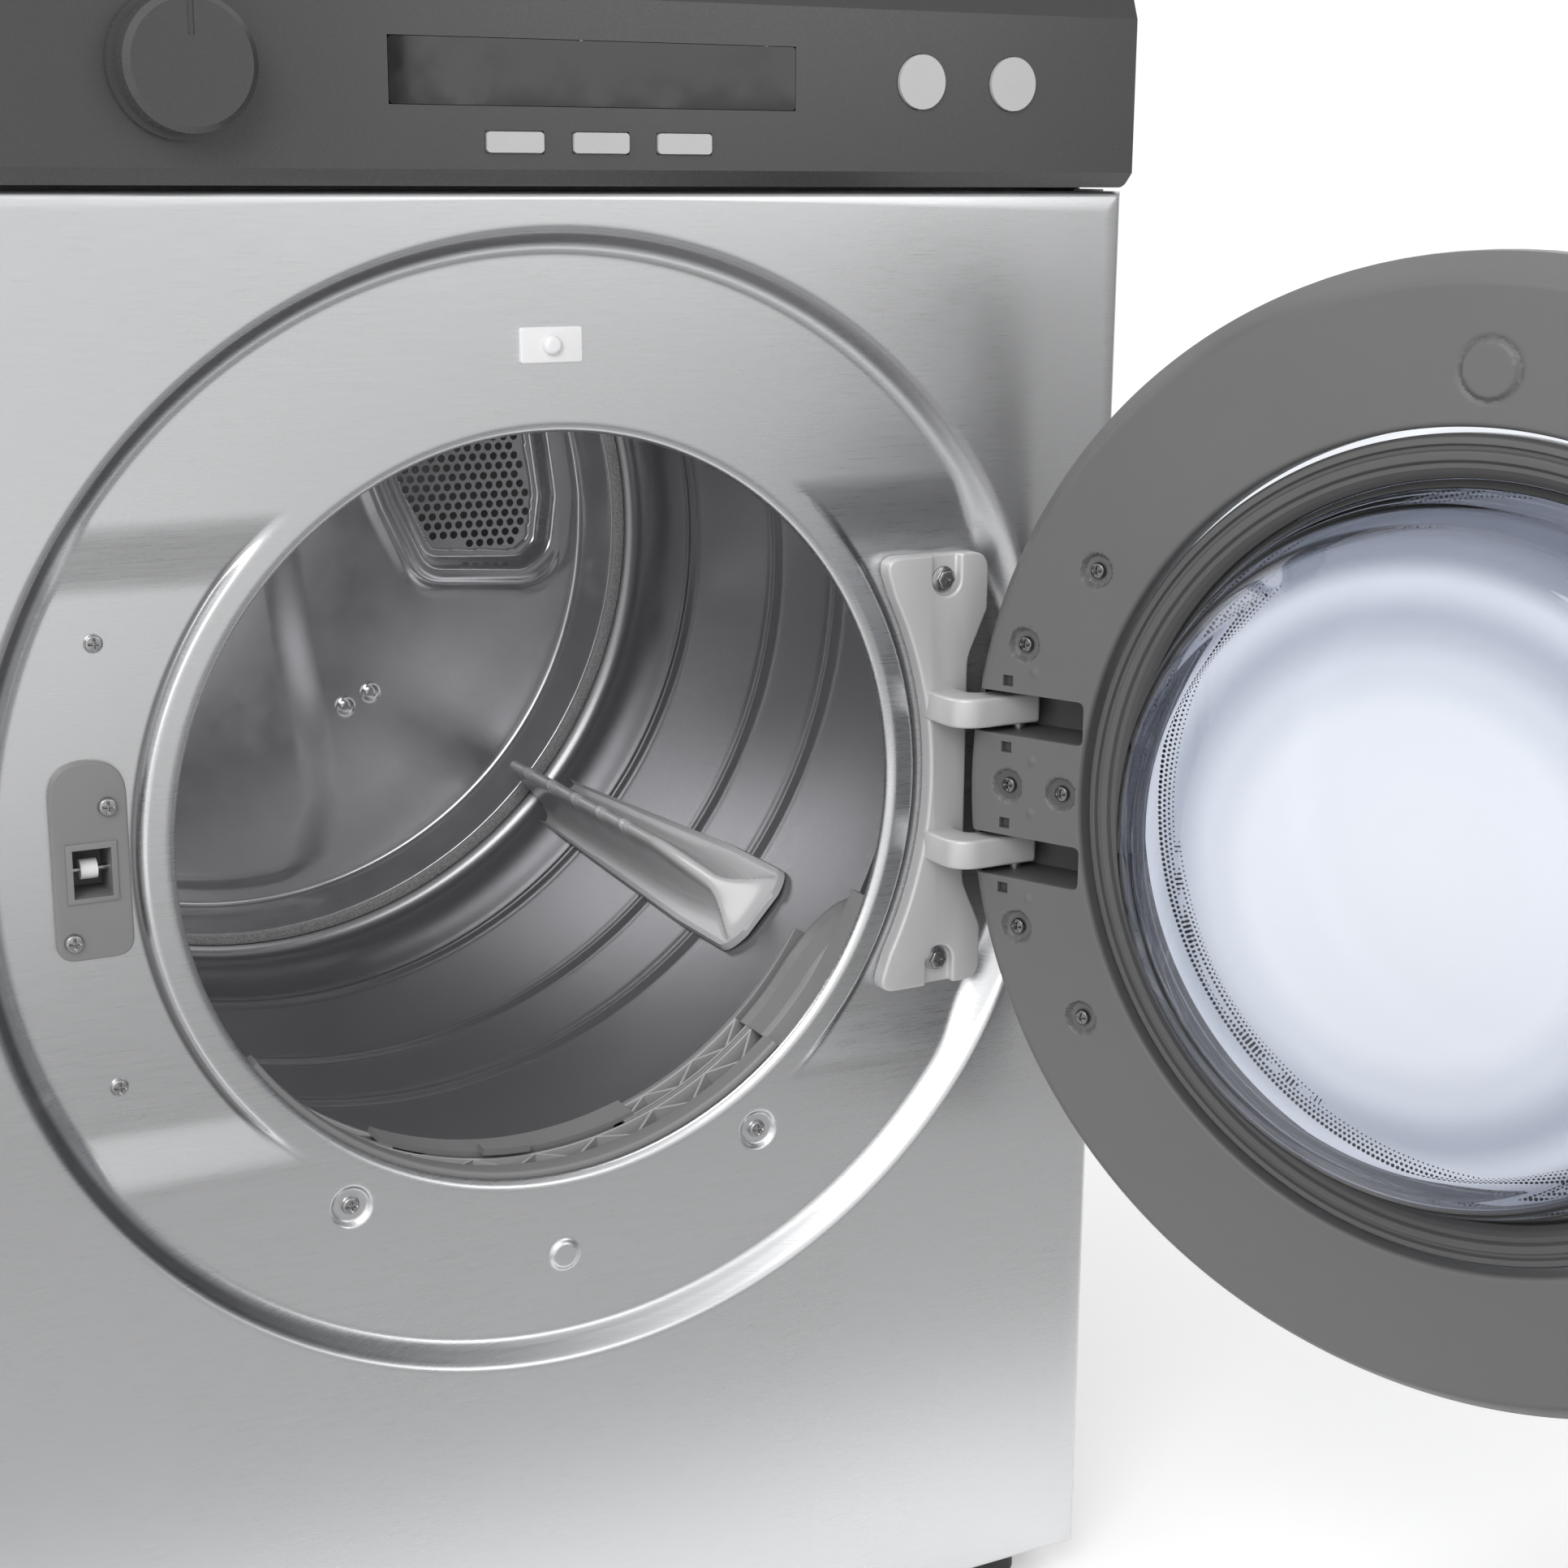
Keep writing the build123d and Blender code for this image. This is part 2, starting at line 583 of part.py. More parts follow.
def roller_mounts():
    """Shafts and foot plates of the four support rollers."""
    mounts = []
    for angle in ROLLER_ANGLES:
        x, z = roller_centre(angle)
        front = rod_y(ROLLER_SHAFT_R, BULKHEAD_DEPTH + SHEET, ROLLER_DEPTHS[0] + 14, x, z)
        front += rod_y(17, BULKHEAD_DEPTH + SHEET, BULKHEAD_DEPTH + SHEET + 3, x, z)
        rear = rod_y(ROLLER_SHAFT_R, ROLLER_DEPTHS[1] - 14, REAR_SEAT_DEPTH, x, z)
        rear += rod_y(17, REAR_SEAT_DEPTH - 3, REAR_SEAT_DEPTH, x, z)
        mounts += [front, rear]
    return group(mounts)


def tangent(centre_a, ra, side_a, centre_b, rb, side_b):
    """Tangent points of a belt run leaving pulley a and reaching pulley b.

    A side is +1 where the belt runs anticlockwise round the pulley and -1 where clockwise.
    """
    dx = centre_b[0] - centre_a[0]
    dz = centre_b[1] - centre_a[1]
    distance = math.hypot(dx, dz)
    heading = math.atan2(dz, dx)
    turn = math.asin((side_a * ra - side_b * rb) / distance)
    normal = heading + turn - math.pi / 2
    ux, uz = math.cos(normal), math.sin(normal)
    start = (centre_a[0] + side_a * ra * ux, centre_a[1] + side_a * ra * uz)
    end = (centre_b[0] + side_b * rb * ux, centre_b[1] + side_b * rb * uz)
    return start, end


def belt_loop(grow):
    """Closed outline of the belt round the drum, the idler and the motor pulley."""
    spots = [((0, DRUM_Z), DRUM_OUT_R + GAP + grow, 1),
             ((MOTOR_X, MOTOR_Z), PULLEY_R + GAP + grow, 1),
             ((IDLER_X, IDLER_Z), IDLER_R + GAP + BELT_THICK - grow, -1)]
    runs = []
    for i, (centre, radius, side) in enumerate(spots):
        following, next_r, next_side = spots[(i + 1) % len(spots)]
        runs.append(tangent(centre, radius, side, following, next_r, next_side))
    edges = []
    for i, (centre, radius, side) in enumerate(spots):
        arrive = runs[i - 1][1]
        leave = runs[i][0]
        a0 = math.atan2(arrive[1] - centre[1], arrive[0] - centre[0])
        a1 = math.atan2(leave[1] - centre[1], leave[0] - centre[0])
        sweep = (a1 - a0) % (2 * math.pi)
        if side < 0:
            sweep -= 2 * math.pi
        middle = a0 + sweep / 2
        through = (centre[0] + radius * math.cos(middle), centre[1] + radius * math.sin(middle))
        edges.append(ThreePointArc(arrive, through, leave))
        edges.append(Line(*runs[i]))
    return make_face(Wire(edges))


def drum_belt():
    """Flat belt loop, drawn just clear of the drum and the pulleys."""
    band = belt_loop(BELT_THICK) - belt_loop(0)
    return plate(band, BELT_DEPTH - BELT_WIDTH / 2, BELT_DEPTH + BELT_WIDTH / 2)


def motor():
    """Drive motor: body, end bells and foot plate."""
    body = rod_y(58, MOTOR_FRONT + 12, MOTOR_REAR - 12, MOTOR_X, MOTOR_Z)
    body += rod_y(48, MOTOR_FRONT, MOTOR_REAR, MOTOR_X, MOTOR_Z)
    body += box(MOTOR_X - 60, MOTOR_X + 60, MOTOR_FRONT + 20, MOTOR_REAR - 20, 31.5, 36)
    body += box(MOTOR_X - 40, MOTOR_X + 40, MOTOR_FRONT + 30, MOTOR_REAR - 30, 34, 100)
    return body - rod_y(SHAFT_R + PIN_CLEARANCE, MOTOR_FRONT - 5, MOTOR_REAR + 5, MOTOR_X, MOTOR_Z)


def rotor_shaft():
    """Motor shaft with the belt pulley on its rear end."""
    shaft = rod_y(SHAFT_R, 92, BELT_DEPTH + 10, MOTOR_X, MOTOR_Z)
    pulley = rod_y(PULLEY_R, BELT_DEPTH - 8, BELT_DEPTH + 8, MOTOR_X, MOTOR_Z)
    for depth in (BELT_DEPTH - 9, BELT_DEPTH + 7):
        pulley += rod_y(PULLEY_R + 4, depth, depth + 2, MOTOR_X, MOTOR_Z)
    return shaft + pulley


def blower_wheel():
    """Centrifugal fan wheel: back plate, hub and blades."""
    wheel = rod_y(72, 136, 138, MOTOR_X, MOTOR_Z)
    wheel += rod_y(14, 100, 138, MOTOR_X, MOTOR_Z)
    blades = 16
    blade = box(44, 72, 96, 137, -1.5, 1.5)
    for i in range(blades):
        wheel += Pos(MOTOR_X, 0, MOTOR_Z) * Rot(0, 360 / blades * i, 0) * blade
    wheel += rod_y(72, 94, 97, MOTOR_X, MOTOR_Z) - rod_y(58, 90, 99, MOTOR_X, MOTOR_Z)
    return wheel - rod_y(SHAFT_R, 90, 140, MOTOR_X, MOTOR_Z)


def blower_housing():
    """Fan casing with its front inlet and the outlet towards the exhaust duct."""
    casing = rod_y(92, 84, 150, MOTOR_X, MOTOR_Z)
    casing += box(-DUCT_R - 10, MOTOR_X, 84, 150, 38, 38 + 2 * DUCT_R + 18)
    hollow = rod_y(89, 87, 147, MOTOR_X, MOTOR_Z)
    hollow += box(-DUCT_R - 7, MOTOR_X, 87, 147, 41, 35 + 2 * DUCT_R + 18)
    casing -= hollow
    casing -= rod_y(52, 80, 90, MOTOR_X, MOTOR_Z)
    casing -= rod_y(SHAFT_R + 1, 140, 155, MOTOR_X, MOTOR_Z)
    return casing - rod_y(DUCT_R - SHEET, 140, 155, 0, DUCT_Z)


def exhaust_duct():
    """Round duct from the fan casing out through the back panel."""
    duct = rod_y(DUCT_R + 0.8, 150, CABINET_DEPTH - 5, 0, DUCT_Z)
    duct += rod_y(DUCT_R, CABINET_DEPTH - 5, CABINET_DEPTH + 38, 0, DUCT_Z)
    return duct - rod_y(DUCT_R - SHEET, 148, CABINET_DEPTH + 40, 0, DUCT_Z)


def idler_arm():
    """Sprung lever that holds the idler pulley against the belt."""
    pivot = Pos(IDLER_PIVOT_X, 0, IDLER_PIVOT_Z)
    depth0 = BELT_DEPTH + 12
    depth1 = depth0 + 4
    dx = IDLER_X - IDLER_PIVOT_X
    dz = IDLER_Z - IDLER_PIVOT_Z
    length = math.hypot(dx, dz)
    tilt = math.degrees(math.atan2(dx, dz))
    bar = pivot * Rot(0, tilt, 0) * box(-9, 9, depth0, depth1, 0, length)
    bar += rod_y(12, depth0, depth1, IDLER_PIVOT_X, IDLER_PIVOT_Z)
    bar += rod_y(10, depth0, depth1, IDLER_X, IDLER_Z)
    bar += rod_y(IDLER_AXLE_R, BELT_DEPTH - 9, depth1, IDLER_X, IDLER_Z)
    return bar - rod_y(IDLER_AXLE_R + PIN_CLEARANCE, depth0 - 5, depth1 + 5, IDLER_PIVOT_X, IDLER_PIVOT_Z)


def idler_pulley():
    """Plain pulley on the idler arm's axle."""
    wheel = rod_y(IDLER_R, BELT_DEPTH - 8, BELT_DEPTH + 8, IDLER_X, IDLER_Z)
    return wheel - rod_y(IDLER_AXLE_R + PIN_CLEARANCE, BELT_DEPTH - 15, BELT_DEPTH + 15, IDLER_X, IDLER_Z)


def idler_bracket():
    """Post on the base pan with the idler arm's pivot pin."""
    post = box(IDLER_PIVOT_X - 16, IDLER_PIVOT_X + 16, BELT_DEPTH + 18, BELT_DEPTH + 22, 31.5,
               IDLER_PIVOT_Z + 16)
    post += box(IDLER_PIVOT_X - 16, IDLER_PIVOT_X + 16, BELT_DEPTH + 18, BELT_DEPTH + 48, 31.5, 35.5)
    return post + rod_y(IDLER_AXLE_R, BELT_DEPTH + 9, BELT_DEPTH + 20, IDLER_PIVOT_X, IDLER_PIVOT_Z)


# ---------------------------------------------------------------- lint path
def arc_band(r0, r1, d0, d1, a0, a1):
    """Part of a ring about the opening's axis."""
    ring = turned([(r0, d0), (r1, d0), (r1, d1), (r0, d1)], OPENING_Z)
    return ring & wedge(a0, a1, r1 + 5, d0 - 1, d1 + 1, OPENING_Z)


def lint_housing():
    """Curved sill below the opening, with plain end covers and openings for the grille."""
    body = arc_band(HOUSING_R, HOUSING_R + 3.5, HOUSING_FRONT, HOUSING_REAR - 3, HOUSING_START, HOUSING_END)
    body += arc_band(HOUSING_R, HOUSING_R + 42, HOUSING_REAR - 3, HOUSING_REAR, HOUSING_START, HOUSING_END)
    body += arc_band(HOUSING_R - 5, HOUSING_R + 1, HOUSING_FRONT + 1, 33, LATTICE_START - 14, LATTICE_END)
    for d0, d1 in LATTICE_ROWS:
        body -= arc_band(HOUSING_R - 6, HOUSING_R + 8, d0, d1, LATTICE_START, LATTICE_END)
    return body - box(FILTER_X - FILTER_HALF - 3, FILTER_X + FILTER_HALF + 3, 57, 75.5, 300, 380)


def lint_grille():
    """Two curved rows of triangular lattice with a thin ridge between them."""
    rib = 1.6
    r0 = HOUSING_R + 0.2
    r1 = HOUSING_R + 7
    cell = 6.0
    pieces = []
    for row, (d0, d1) in enumerate(LATTICE_ROWS):
        count = round((LATTICE_END - LATTICE_START) / cell)
        for i in range(count):
            a0 = LATTICE_START + i * cell
            flip = (i + row) % 2
            pieces.append(lattice_rib(a0, a0 + cell, d0, d1, r0, r1, rib, flip))
        pieces.append(arc_band(r0, r1, d0 + 0.3, d0 + 0.3 + rib, LATTICE_START + 0.2, LATTICE_END - 0.2))
        pieces.append(arc_band(r0, r1, d1 - 0.3 - rib, d1 - 0.3, LATTICE_START + 0.2, LATTICE_END - 0.2))
    grid = pieces[0]
    for piece in pieces[1:]:
        grid += piece
    slot = box(FILTER_X - FILTER_HALF - 4, FILTER_X + FILTER_HALF + 4, 57, 80, 300, 380)
    return grid - slot


def lattice_rib(a0, a1, d0, d1, r0, r1, rib, flip):
    """One slanting rib across a lattice row, leaning one way or the other."""
    angle = math.radians((a0 + a1) / 2)
    run = math.radians(a1 - a0) * r0
    length = math.hypot(run, d1 - d0) - 2
    lean = math.degrees(math.atan2(d1 - d0, run)) * (1 if flip else -1)
    middle = (r0 + r1) / 2
    bar = Rot(lean, 0, 0) * Box(r1 - r0, rib, length)
    spot = Pos(middle * math.cos(angle), y((d0 + d1) / 2), OPENING_Z + middle * math.sin(angle))
    return spot * Rot(0, -math.degrees(angle), 0) * bar


def lint_filter():
    """Removable filter: curved grip strip, flat frame and two screens."""
    strip = arc_band(HOUSING_R - 3.5, HOUSING_R - 0.5, 58, 78, -116, -72)
    strip += arc_band(HOUSING_R - 7, HOUSING_R - 3, 52, 62, -99, -91)
    top = OPENING_Z - 196
    bottom = OPENING_Z - 372
    front = FILTER_DEPTHS[0]
    rear = FILTER_DEPTHS[1]
    pouch = box(FILTER_X - FILTER_HALF, FILTER_X + FILTER_HALF, front, rear, bottom, top)
    pouch -= box(FILTER_X - FILTER_HALF + 4, FILTER_X + FILTER_HALF - 4, front + 1.5, rear - 1.5, bottom + 4,
                 top + 1)
    for depth in FILTER_DEPTHS:
        for i in range(3):
            x0 = FILTER_X - FILTER_HALF + 5 + i * 41.5
            pouch -= box(x0, x0 + 38.5, depth - 2, depth + 2, bottom + 8, OPENING_Z - 214)
    pouch -= rod_y(HOUSING_R - 3, 50, 80, 0, OPENING_Z)
    return strip + pouch


def filter_screens():
    """Fine mesh sheets on the inner faces of the filter frame."""
    screens = None
    for depth in (FILTER_DEPTHS[0] + 0.8, FILTER_DEPTHS[1] - 1.4):
        sheet = box(FILTER_X - FILTER_HALF + 3, FILTER_X + FILTER_HALF - 3, depth, depth + 0.6,
                    OPENING_Z - 370, OPENING_Z - 212)
        screens = sheet if screens is None else screens + sheet
    return screens


def lint_duct():
    """Channel that leads air and the filter down from the sill to the fan inlet."""
    shape = [(-112, 334), (84, 334), (84, 262), (200, 214), (200, 62), (40, 62), (-112, 150)]
    inner = [(-109, 336), (81, 336), (81, 260), (197, 212), (197, 65), (41, 65), (-109, 152)]
    wall = 3.0
    duct = plate(outline(shape), DUCT_FRONT, DUCT_REAR)
    duct -= plate(outline(inner), DUCT_FRONT + wall, DUCT_REAR - wall)
    duct -= rod_y(HOUSING_R + 11, DUCT_FRONT - 5, DUCT_REAR + 5, 0, OPENING_Z)
    duct += rod_y(55, DUCT_REAR - wall, 83.5, MOTOR_X, MOTOR_Z)
    return duct - rod_y(52, 70, 90, MOTOR_X, MOTOR_Z)


# ---------------------------------------------------------------- latch and door switch
def latch_cover():
    """Upright cover with a round top, a raised bezel and the catch's square hole."""
    half = 19.0
    top = OPENING_Z + 56
    bottom = OPENING_Z - 44
    shape = Pos(LATCH_X, (top + bottom) / 2) * Rectangle(2 * half, top - bottom)
    cover = plate(shape, POCKET_DEPTH - 3.6, POCKET_DEPTH)
    tall = cover.edges().filter_by(Axis.Y)
    cover = fillet(tall.sort_by(Axis.Z)[2:], half - 0.2)
    cover = fillet(cover.edges().filter_by(Axis.Y).sort_by(Axis.Z)[:2], 10)
    cover += box(LATCH_X - 12.5, LATCH_X + 12.5, POCKET_DEPTH - 4.6, POCKET_DEPTH, OPENING_Z - 14.5,
                 OPENING_Z + 15.5)
    for dx, z in LATCH_SCREWS:
        cover -= rod_y(2.2, 5, 30, LATCH_X + dx, OPENING_Z + z)
    return cover - box(LATCH_X - 9.5, LATCH_X + 9.5, 5, 30, OPENING_Z - 12, OPENING_Z + 12.5)


def latch_housing():
    """Box behind the front panel that carries the latch roller's pin."""
    body = box(LATCH_X - 12, LATCH_X + 12, POCKET_DEPTH + 0.1, 42, OPENING_Z - 14, OPENING_Z + 15)
    body -= box(LATCH_X - 10, LATCH_X + 10, 10, 40, OPENING_Z - 12.2, OPENING_Z + 12.8)
    return body - rod_x(LATCH_PIN_R, LATCH_X - 15, LATCH_X + 15, LATCH_ROLLER_DEPTH, OPENING_Z)


def latch_roller():
    """Small roller that the door catch grips."""
    roller = rod_x(5, LATCH_X - 4.2, LATCH_X + 4.2, LATCH_ROLLER_DEPTH, OPENING_Z)
    return roller - rod_x(LATCH_PIN_R + PIN_CLEARANCE, LATCH_X - 9, LATCH_X + 9, LATCH_ROLLER_DEPTH,
                          OPENING_Z)


def latch_pin():
    """Pin through the latch roller."""
    return rod_x(LATCH_PIN_R, LATCH_X - 12, LATCH_X + 12, LATCH_ROLLER_DEPTH, OPENING_Z)


def door_switch():
    """Door switch: white plate on the panel and the body behind it."""
    z = OPENING_Z + SWITCH_RISE
    front = RECESS_DEPTH - 2.4
    shape = box(-17, 17, front, RECESS_DEPTH, z - 9, z + 9)
    shape = fillet(shape.edges().filter_by(Axis.Y), 1.5)
    shape += box(-12, 12, RECESS_DEPTH, 36, z - 6, z + 6)
    return shape - rod_y(PLUNGER_R + PIN_CLEARANCE, front - 1, 30, 0, z)


def door_switch_plunger():
    """Domed plunger that the door pushes in."""
    z = OPENING_Z + SWITCH_RISE
    tip = 7.2
    stem = rod_y(PLUNGER_R, tip, 24, 0, z)
    return fillet(stem.edges().filter_by(GeomType.CIRCLE).sort_by(Axis.Y)[0], 2.6)


# ---------------------------------------------------------------- hinge
def hinge_bracket():
    """Cast hinge bracket: waisted plate, screw pockets and two curved arms."""
    top = 127.0
    edge = 265.0
    waist = 252.5
    left = 197.0
    shape = [(left, top - 14), (left + 12, top), (edge - 10, top), (edge, top - 10), (edge, 92), (waist, 62)]
    lower = [(px, -pz) for px, pz in reversed(shape)]
    face = make_face(Polyline(shape + lower, close=True)) - Circle(BRACKET_ARC_R)
    body = plate(Pos(0, OPENING_Z) * face, 7, POCKET_DEPTH)
    front_edges = body.edges().filter_by_position(Axis.Y, y(7) - 0.1, y(7) + 0.1)
    body = chamfer(front_edges, 1.6)
    for side in (-1, 1):
        z = OPENING_Z + side * HINGE_SCREW_Z
        pocket = rod_y(9, 3, 12, HINGE_SCREW_X, z)
        z_out = OPENING_Z + side * (top + 5)
        pocket += box(HINGE_SCREW_X - 9, HINGE_SCREW_X + 9, 3, 12, min(z, z_out), max(z, z_out))
        body -= pocket
        body -= rod_y(3.2, 3, 30, HINGE_SCREW_X, z)
        body += hinge_arm(OPENING_Z + side * ARM_Z)
        body -= rod_z(HINGE_PIN_R + PIN_CLEARANCE, OPENING_Z + side * ARM_Z - 15,
                      OPENING_Z + side * ARM_Z + 15,
                      HINGE_X, HINGE_DEPTH)
    return body


def hinge_arm(z):
    """Arm that rises from the bracket, turns to the right and ends in the pin's eye."""
    points = [(226, 12), (226, -14), (234, -25), (HINGE_X, -26), (HINGE_X + 8, -26), (HINGE_X + 9, -24),
              (HINGE_X + 9, -10), (HINGE_X + 7, -8), (252, -8), (245, -2), (245, 12)]
    flat = make_face(Polyline([(px, y(pd)) for px, pd in points], close=True))
    return extrude(Plane.XY.offset(z - ARM_HEIGHT / 2) * flat, ARM_HEIGHT)


def arm_slots(x1, d0, d1, grow=0.0):
    """Space of the two slots in the door for the hinge arms."""
    slots = None
    for side in (-1, 1):
        za = OPENING_Z + side * (SLOT_Z0 - grow)
        zb = OPENING_Z + side * (SLOT_Z1 + grow)
        slot = box(SLOT_X0 - grow, x1, d0, d1, min(za, zb), max(za, zb))
        slots = slot if slots is None else slots + slot
    return slots


def hinge_receiver():
    """Metal block in the door with a trough round each arm and ears for the pins."""
    wall = 3.0
    front = DOOR_FACE - 3.1
    body = box(SLOT_X0 - 4, 280, front - 4, front, OPENING_Z - 62, OPENING_Z + 62)
    body += arm_slots(283, SLOT_DEPTH - wall, front, wall)
    body -= arm_slots(300, SLOT_DEPTH, front + 5)
    for side in (-1, 1):
        body -= rod_z(HINGE_PIN_R, OPENING_Z + side * ARM_Z - 20, OPENING_Z + side * ARM_Z + 20, HINGE_X,
                      HINGE_DEPTH)
    for x, z in DOOR_SCREW_SPOTS[4:]:
        body -= rod_y(2.6, -10, 10, x, OPENING_Z + z)
    body -= rod_y(221.3, -50, 10, 0, OPENING_Z)
    return body & rod_y(286, -50, 10, 0, OPENING_Z)


def hinge_pins():
    """The two upright hinge pins."""
    reach = (SLOT_Z1 - SLOT_Z0) / 2 + 3
    middle = (SLOT_Z1 + SLOT_Z0) / 2
    pins = []
    for side in (-1, 1):
        z = OPENING_Z + side * middle
        pins.append(rod_z(HINGE_PIN_R, z - reach, z + reach, HINGE_X, HINGE_DEPTH))
    return group(pins)


# ---------------------------------------------------------------- door, drawn shut
def door_inner_frame():
    """Moulded inner ring of the door with its rim, glass seat, screw cups and arm slots."""
    wall = 3.0
    face = DOOR_FACE
    ring = turned([(217.5, face), (DOOR_FACE_R - 2, face), (DOOR_FACE_R, face - 1.5),
                   (DOOR_RIM_R - 0.5, -15.6),
                   (DOOR_RIM_R - 4, -15.6), (DOOR_FACE_R - 3.4, face - wall), (221, face - wall),
                   (221, SEAT_DEPTH - 3), (180, SEAT_DEPTH - 3), (180, SEAT_DEPTH), (217.5, SEAT_DEPTH)],
                   OPENING_Z)
    ring += rod_y(15, face - 1, face + 0.8, 0, OPENING_Z + PAD_RISE)
    for x, z in DOOR_SCREW_SPOTS:
        ring -= Pos(x, 0, 0) * turned([(0, face - 2), (7.5, face - 2), (9.5, face + 1), (0, face + 1)],
                                      OPENING_Z + z)
        ring -= rod_y(2.6, -10, 10, x, OPENING_Z + z)
    for z in (60, 22, -22, -60):
        ring -= box(263.5, 268.5, face - 5, face + 5, OPENING_Z + z - 2.5, OPENING_Z + z + 2.5)
    ring -= arm_slots(330, -15.0, face + 5)
    return ring - box(LATCH_X - 7, LATCH_X + 7, face - 5, face + 5, OPENING_Z - 12, OPENING_Z + 12)


def door_outer_ring():
    """Outer trim ring of the door with a finger recess at its free edge."""
    ring = turned([(DOOR_RIM_R - 0.5, -16), (DOOR_RIM_R, -19), (DOOR_RIM_R, -31), (295, DOOR_BACK),
                   (245, DOOR_BACK), (245, DOOR_BACK + 3), (293.5, DOOR_BACK + 3), (298, -30), (298, -16)],
                   OPENING_Z)
    cup = box(-291, -258, DOOR_BACK + 1, -17, OPENING_Z - 62, OPENING_Z + 62)
    room = box(-288, -261, DOOR_BACK - 5, -20, OPENING_Z - 59, OPENING_Z + 59)
    return ring + cup - room


def door_window():
    """Clear outer window of the door."""
    return turned([(0, DOOR_BACK), (240, DOOR_BACK), (244.6, DOOR_BACK + 1), (244.6, DOOR_BACK + 4),
                   (0, DOOR_BACK + 4)], OPENING_Z)


def window_clips():
    """Ring behind the outer window that joins it to the inner frame, cut away round the hinge."""
    ring = turned([(236, DOOR_BACK + 4.1), (245, DOOR_BACK + 4.1), (245, DOOR_BACK + 3), (252, DOOR_BACK + 3),
                   (252, DOOR_BACK + 5), (240, DOOR_BACK + 5), (240, SEAT_DEPTH - 3.1), (236,
                   SEAT_DEPTH - 3.1)],
                  OPENING_Z)
    return ring - box(200, 300, DOOR_BACK + 5.4, 0, OPENING_Z - 66, OPENING_Z + 66)


def door_glass():
    """Pressed glass bowl that bulges into the drum's mouth."""
    outer = [(214, -5.8), (190.5, -5.8), (187, -2), (181, 22), (172, 42), (160, 53), (140, 59), (0, 62)]
    inner = [(0, 57), (139, 54), (156, 48.5), (167.5, 39), (176, 20), (182, -4), (183.5, -11.8), (214, -11.8)]
    return turned(outer + inner, OPENING_Z)


def door_seal_ring():
    """Grey rubber ring that holds the glass bowl's rim."""
    return turned([(191.5, -5.6), (215, -5.6), (215, 1), (212, 3.4), (204, 3.8), (197, 1.6), (191.5, -2)],
                  OPENING_Z)


def door_catch():
    """Forked catch that grips the latch roller when the door is shut."""
    base = box(LATCH_X - 14, LATCH_X + 14, DOOR_FACE - 7, DOOR_FACE - 3.1, OPENING_Z - 18, OPENING_Z + 18)
    for side in (-1, 1):
        z0 = OPENING_Z + side * 5.7
        z1 = OPENING_Z + side * 9.2
        base += box(LATCH_X - 4.5, LATCH_X + 4.5, DOOR_FACE - 5, 31, min(z0, z1), max(z0, z1))
    return base


def door_screws():
    """Screws of the door's inner face, sunk in their cups."""
    screws = []
    for x, z in DOOR_SCREW_SPOTS:
        shank = rod_y(2.5, -8, 3.4, x, OPENING_Z + z)
        head = Pos(x, 0, 0) * turned([(0, 3.4), (4.6, 3.4), (4.2, 4.8), (2.5, 5.6), (0, 5.8)], OPENING_Z + z)
        screws.append(shank + head)
    return group(screws)


# ---------------------------------------------------------------- cabinet screws
def pan_head(x, z, seat, head_r, rise):
    """Pan-head screw whose head sits on a depth and faces forwards."""
    head = [(0, seat), (head_r, seat), (head_r * 0.9, seat - rise * 0.6), (head_r * 0.5, seat - rise),
            (0, seat - rise)]
    return Pos(x, 0, 0) * turned(head, z) + rod_y(2.0, seat, seat + 12, x, z)


def cabinet_screws():
    """Screws of the front panel and the latch cover, and the hinge bolts."""
    screws = []
    for z in (-POCKET_SCREW_Z, POCKET_SCREW_Z):
        screws.append(pan_head(-POCKET_SCREW_X, OPENING_Z + z, POCKET_DEPTH - 0.1, 4.8, 2.8))
    for x in (-PANEL_SCREW_X, PANEL_SCREW_X):
        screws.append(pan_head(x, OPENING_Z + PANEL_SCREW_Z, RECESS_DEPTH + 2.9, 5.2, 3.0))
    for dx, z in LATCH_SCREWS:
        screws.append(pan_head(LATCH_X + dx, OPENING_Z + z, POCKET_DEPTH - 3.7, 4.8, 2.8))
    for z in (-HINGE_SCREW_Z, HINGE_SCREW_Z):
        flange = rod_y(7.5, 10.4, 11.9, HINGE_SCREW_X, OPENING_Z + z)
        hexagon = plate(Pos(HINGE_SCREW_X, OPENING_Z + z) * RegularPolygon(5.4, 6), 7.6, 10.6)
        screws.append(flange + hexagon + rod_y(3.0, 11.9, 32, HINGE_SCREW_X, OPENING_Z + z))
    return group(screws)


